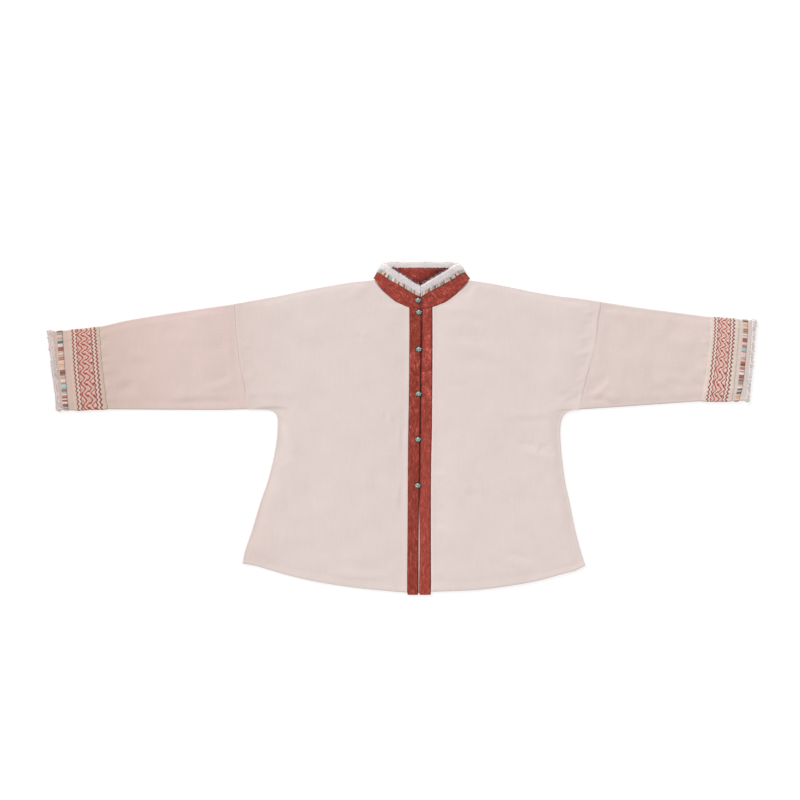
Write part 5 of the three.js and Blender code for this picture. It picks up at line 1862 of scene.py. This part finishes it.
def enamel_finish(name, colour, dark, metallic, roughness):
    """Fired enamel or pressed metal, darker in its hollows and a little worn."""
    enamel = Finish(name, Metallic=metallic, Roughness=roughness, Coat_Weight=0.3)
    pits = enamel.patches(enamel.place(), 1.1, 3)
    haze = enamel.patches(enamel.place(), 3, 2)
    shade = pits.between(0.35, 0.7)
    fired = enamel.mix(shade, dark, colour)
    return enamel.paint(enamel.shaded(fired, (haze - 0.5) * 0.2), pits, 0.12)


turquoise = enamel_finish("turquoise_enamel", dye(128, 205, 200), dye(70, 150, 150), 0, 0.3)
bronze = enamel_finish("dark_bronze", dye(92, 66, 58), dye(44, 30, 30), 0.7, 0.45)
pearl = enamel_finish("pearl_dome", dye(214, 204, 184), dye(160, 150, 132), 0, 0.35)
blue_eye = enamel_finish("eye_blue", dye(70, 84, 96), dye(34, 40, 52), 0.2, 0.3)
brown_eye = enamel_finish("eye_brown", dye(96, 52, 44), dye(50, 26, 24), 0.2, 0.3)


def button_parts():
    """The button's solids and which finish each has."""
    rim = BUTTON_RADIUS
    profile = [(0.01, 0), (rim - 0.3, 0), (rim, 0.35), (rim, 0.9), (rim - 0.35, 1.35)]
    profile += [(rim - 0.8, BUTTON_BASE), (rim - 1.5, BUTTON_BASE - 0.25)]
    profile += [(rim - 2, BUTTON_BASE - 0.3), (0.01, BUTTON_BASE - 0.3)]
    yield turned_solid(profile, 40), (0, 0, 0), 0, 0
    for degrees in PETAL_ANGLES:
        yield ball(2.7, 1.75, 1.5, 11, 16), (3.6, 0, BUTTON_BASE), degrees, 1
        yield ball(1.7, 0.55, 0.5, 7, 10), (4.1, 0, BUTTON_BASE + 1.25), degrees, 2
    yield ball(3, 3, 2.4, 15, 24), (0, 1.3, BUTTON_BASE + 1), 0, 2
    for degrees in range(0, 360, 30):
        bead = math.radians(degrees)
        at = (5.75 * math.cos(bead), 5.75 * math.sin(bead), BUTTON_BASE - 0.1)
        yield ball(0.5, 0.5, 0.45, 6, 8), at, 0, 0
    yield ball(1.1, 1.1, 0.9, 9, 12), (-6.7, 0, 0.75), 0, 3
    yield ball(1.1, 1.1, 0.9, 9, 12), (6.7, 0, 0.75), 0, 4


def turned(first, second, angle):
    """Two of a point's parts after a turn in their plane."""
    cos = math.cos(angle)
    sin = math.sin(angle)
    return first * cos - second * sin, first * sin + second * cos


def make_button(number, place, leans):
    points, faces, finishes = [], [], []
    count = 0
    for (part_points, part_faces), at, degrees, finish in button_parts():
        x, y, z = (part_points + np.array(at)).T
        points.append(np.stack([*turned(x, y, math.radians(degrees)), z], -1))
        faces.append(part_faces + count)
        finishes.append(np.full(len(part_faces), finish))
        count += len(part_points)
    points = np.concatenate(points)
    if leans:
        face = VELVET_OUT + SEAM_GAP + RIBBON_THICKNESS + SEAM_GAP
        top = np.zeros(1)
        down = COLLAR["top_y"][0] - place[1]
        seat = collar_points(top, np.array([down]), face)[0]
        above = collar_points(top, np.array([down - 1]), face)[0]
        slope = math.atan2(above[2] - seat[2], above[1] - seat[1])
        x, y, z = points.T
        points = np.stack([x, *turned(y, z, slope)], -1)
        level = seat[2]
    else:
        level = FRONT_Z + BAND_THICKNESS + SEAM_GAP
    points = points + np.array([place[0], place[1], level])
    name = f"button_{number}_enamelled"
    button = add_piece(name, points, np.concatenate(faces), bronze, "enamelled_metal")
    for finish in (turquoise, pearl, blue_eye, brown_eye):
        button.data.materials.append(finish)
    button.data.polygons.foreach_set("material_index", np.concatenate(finishes))
    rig.replaces(button, f"button_{number}")


for number, place in enumerate(BUTTONS, 1):
    make_button(number, place, number == 1)

boxes = {"cad": cad_box, "visual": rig.bounds()}
with open("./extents.json", "w") as size_file:
    json.dump({name: [list(corner) for corner in box] for name, box in boxes.items()}, size_file)
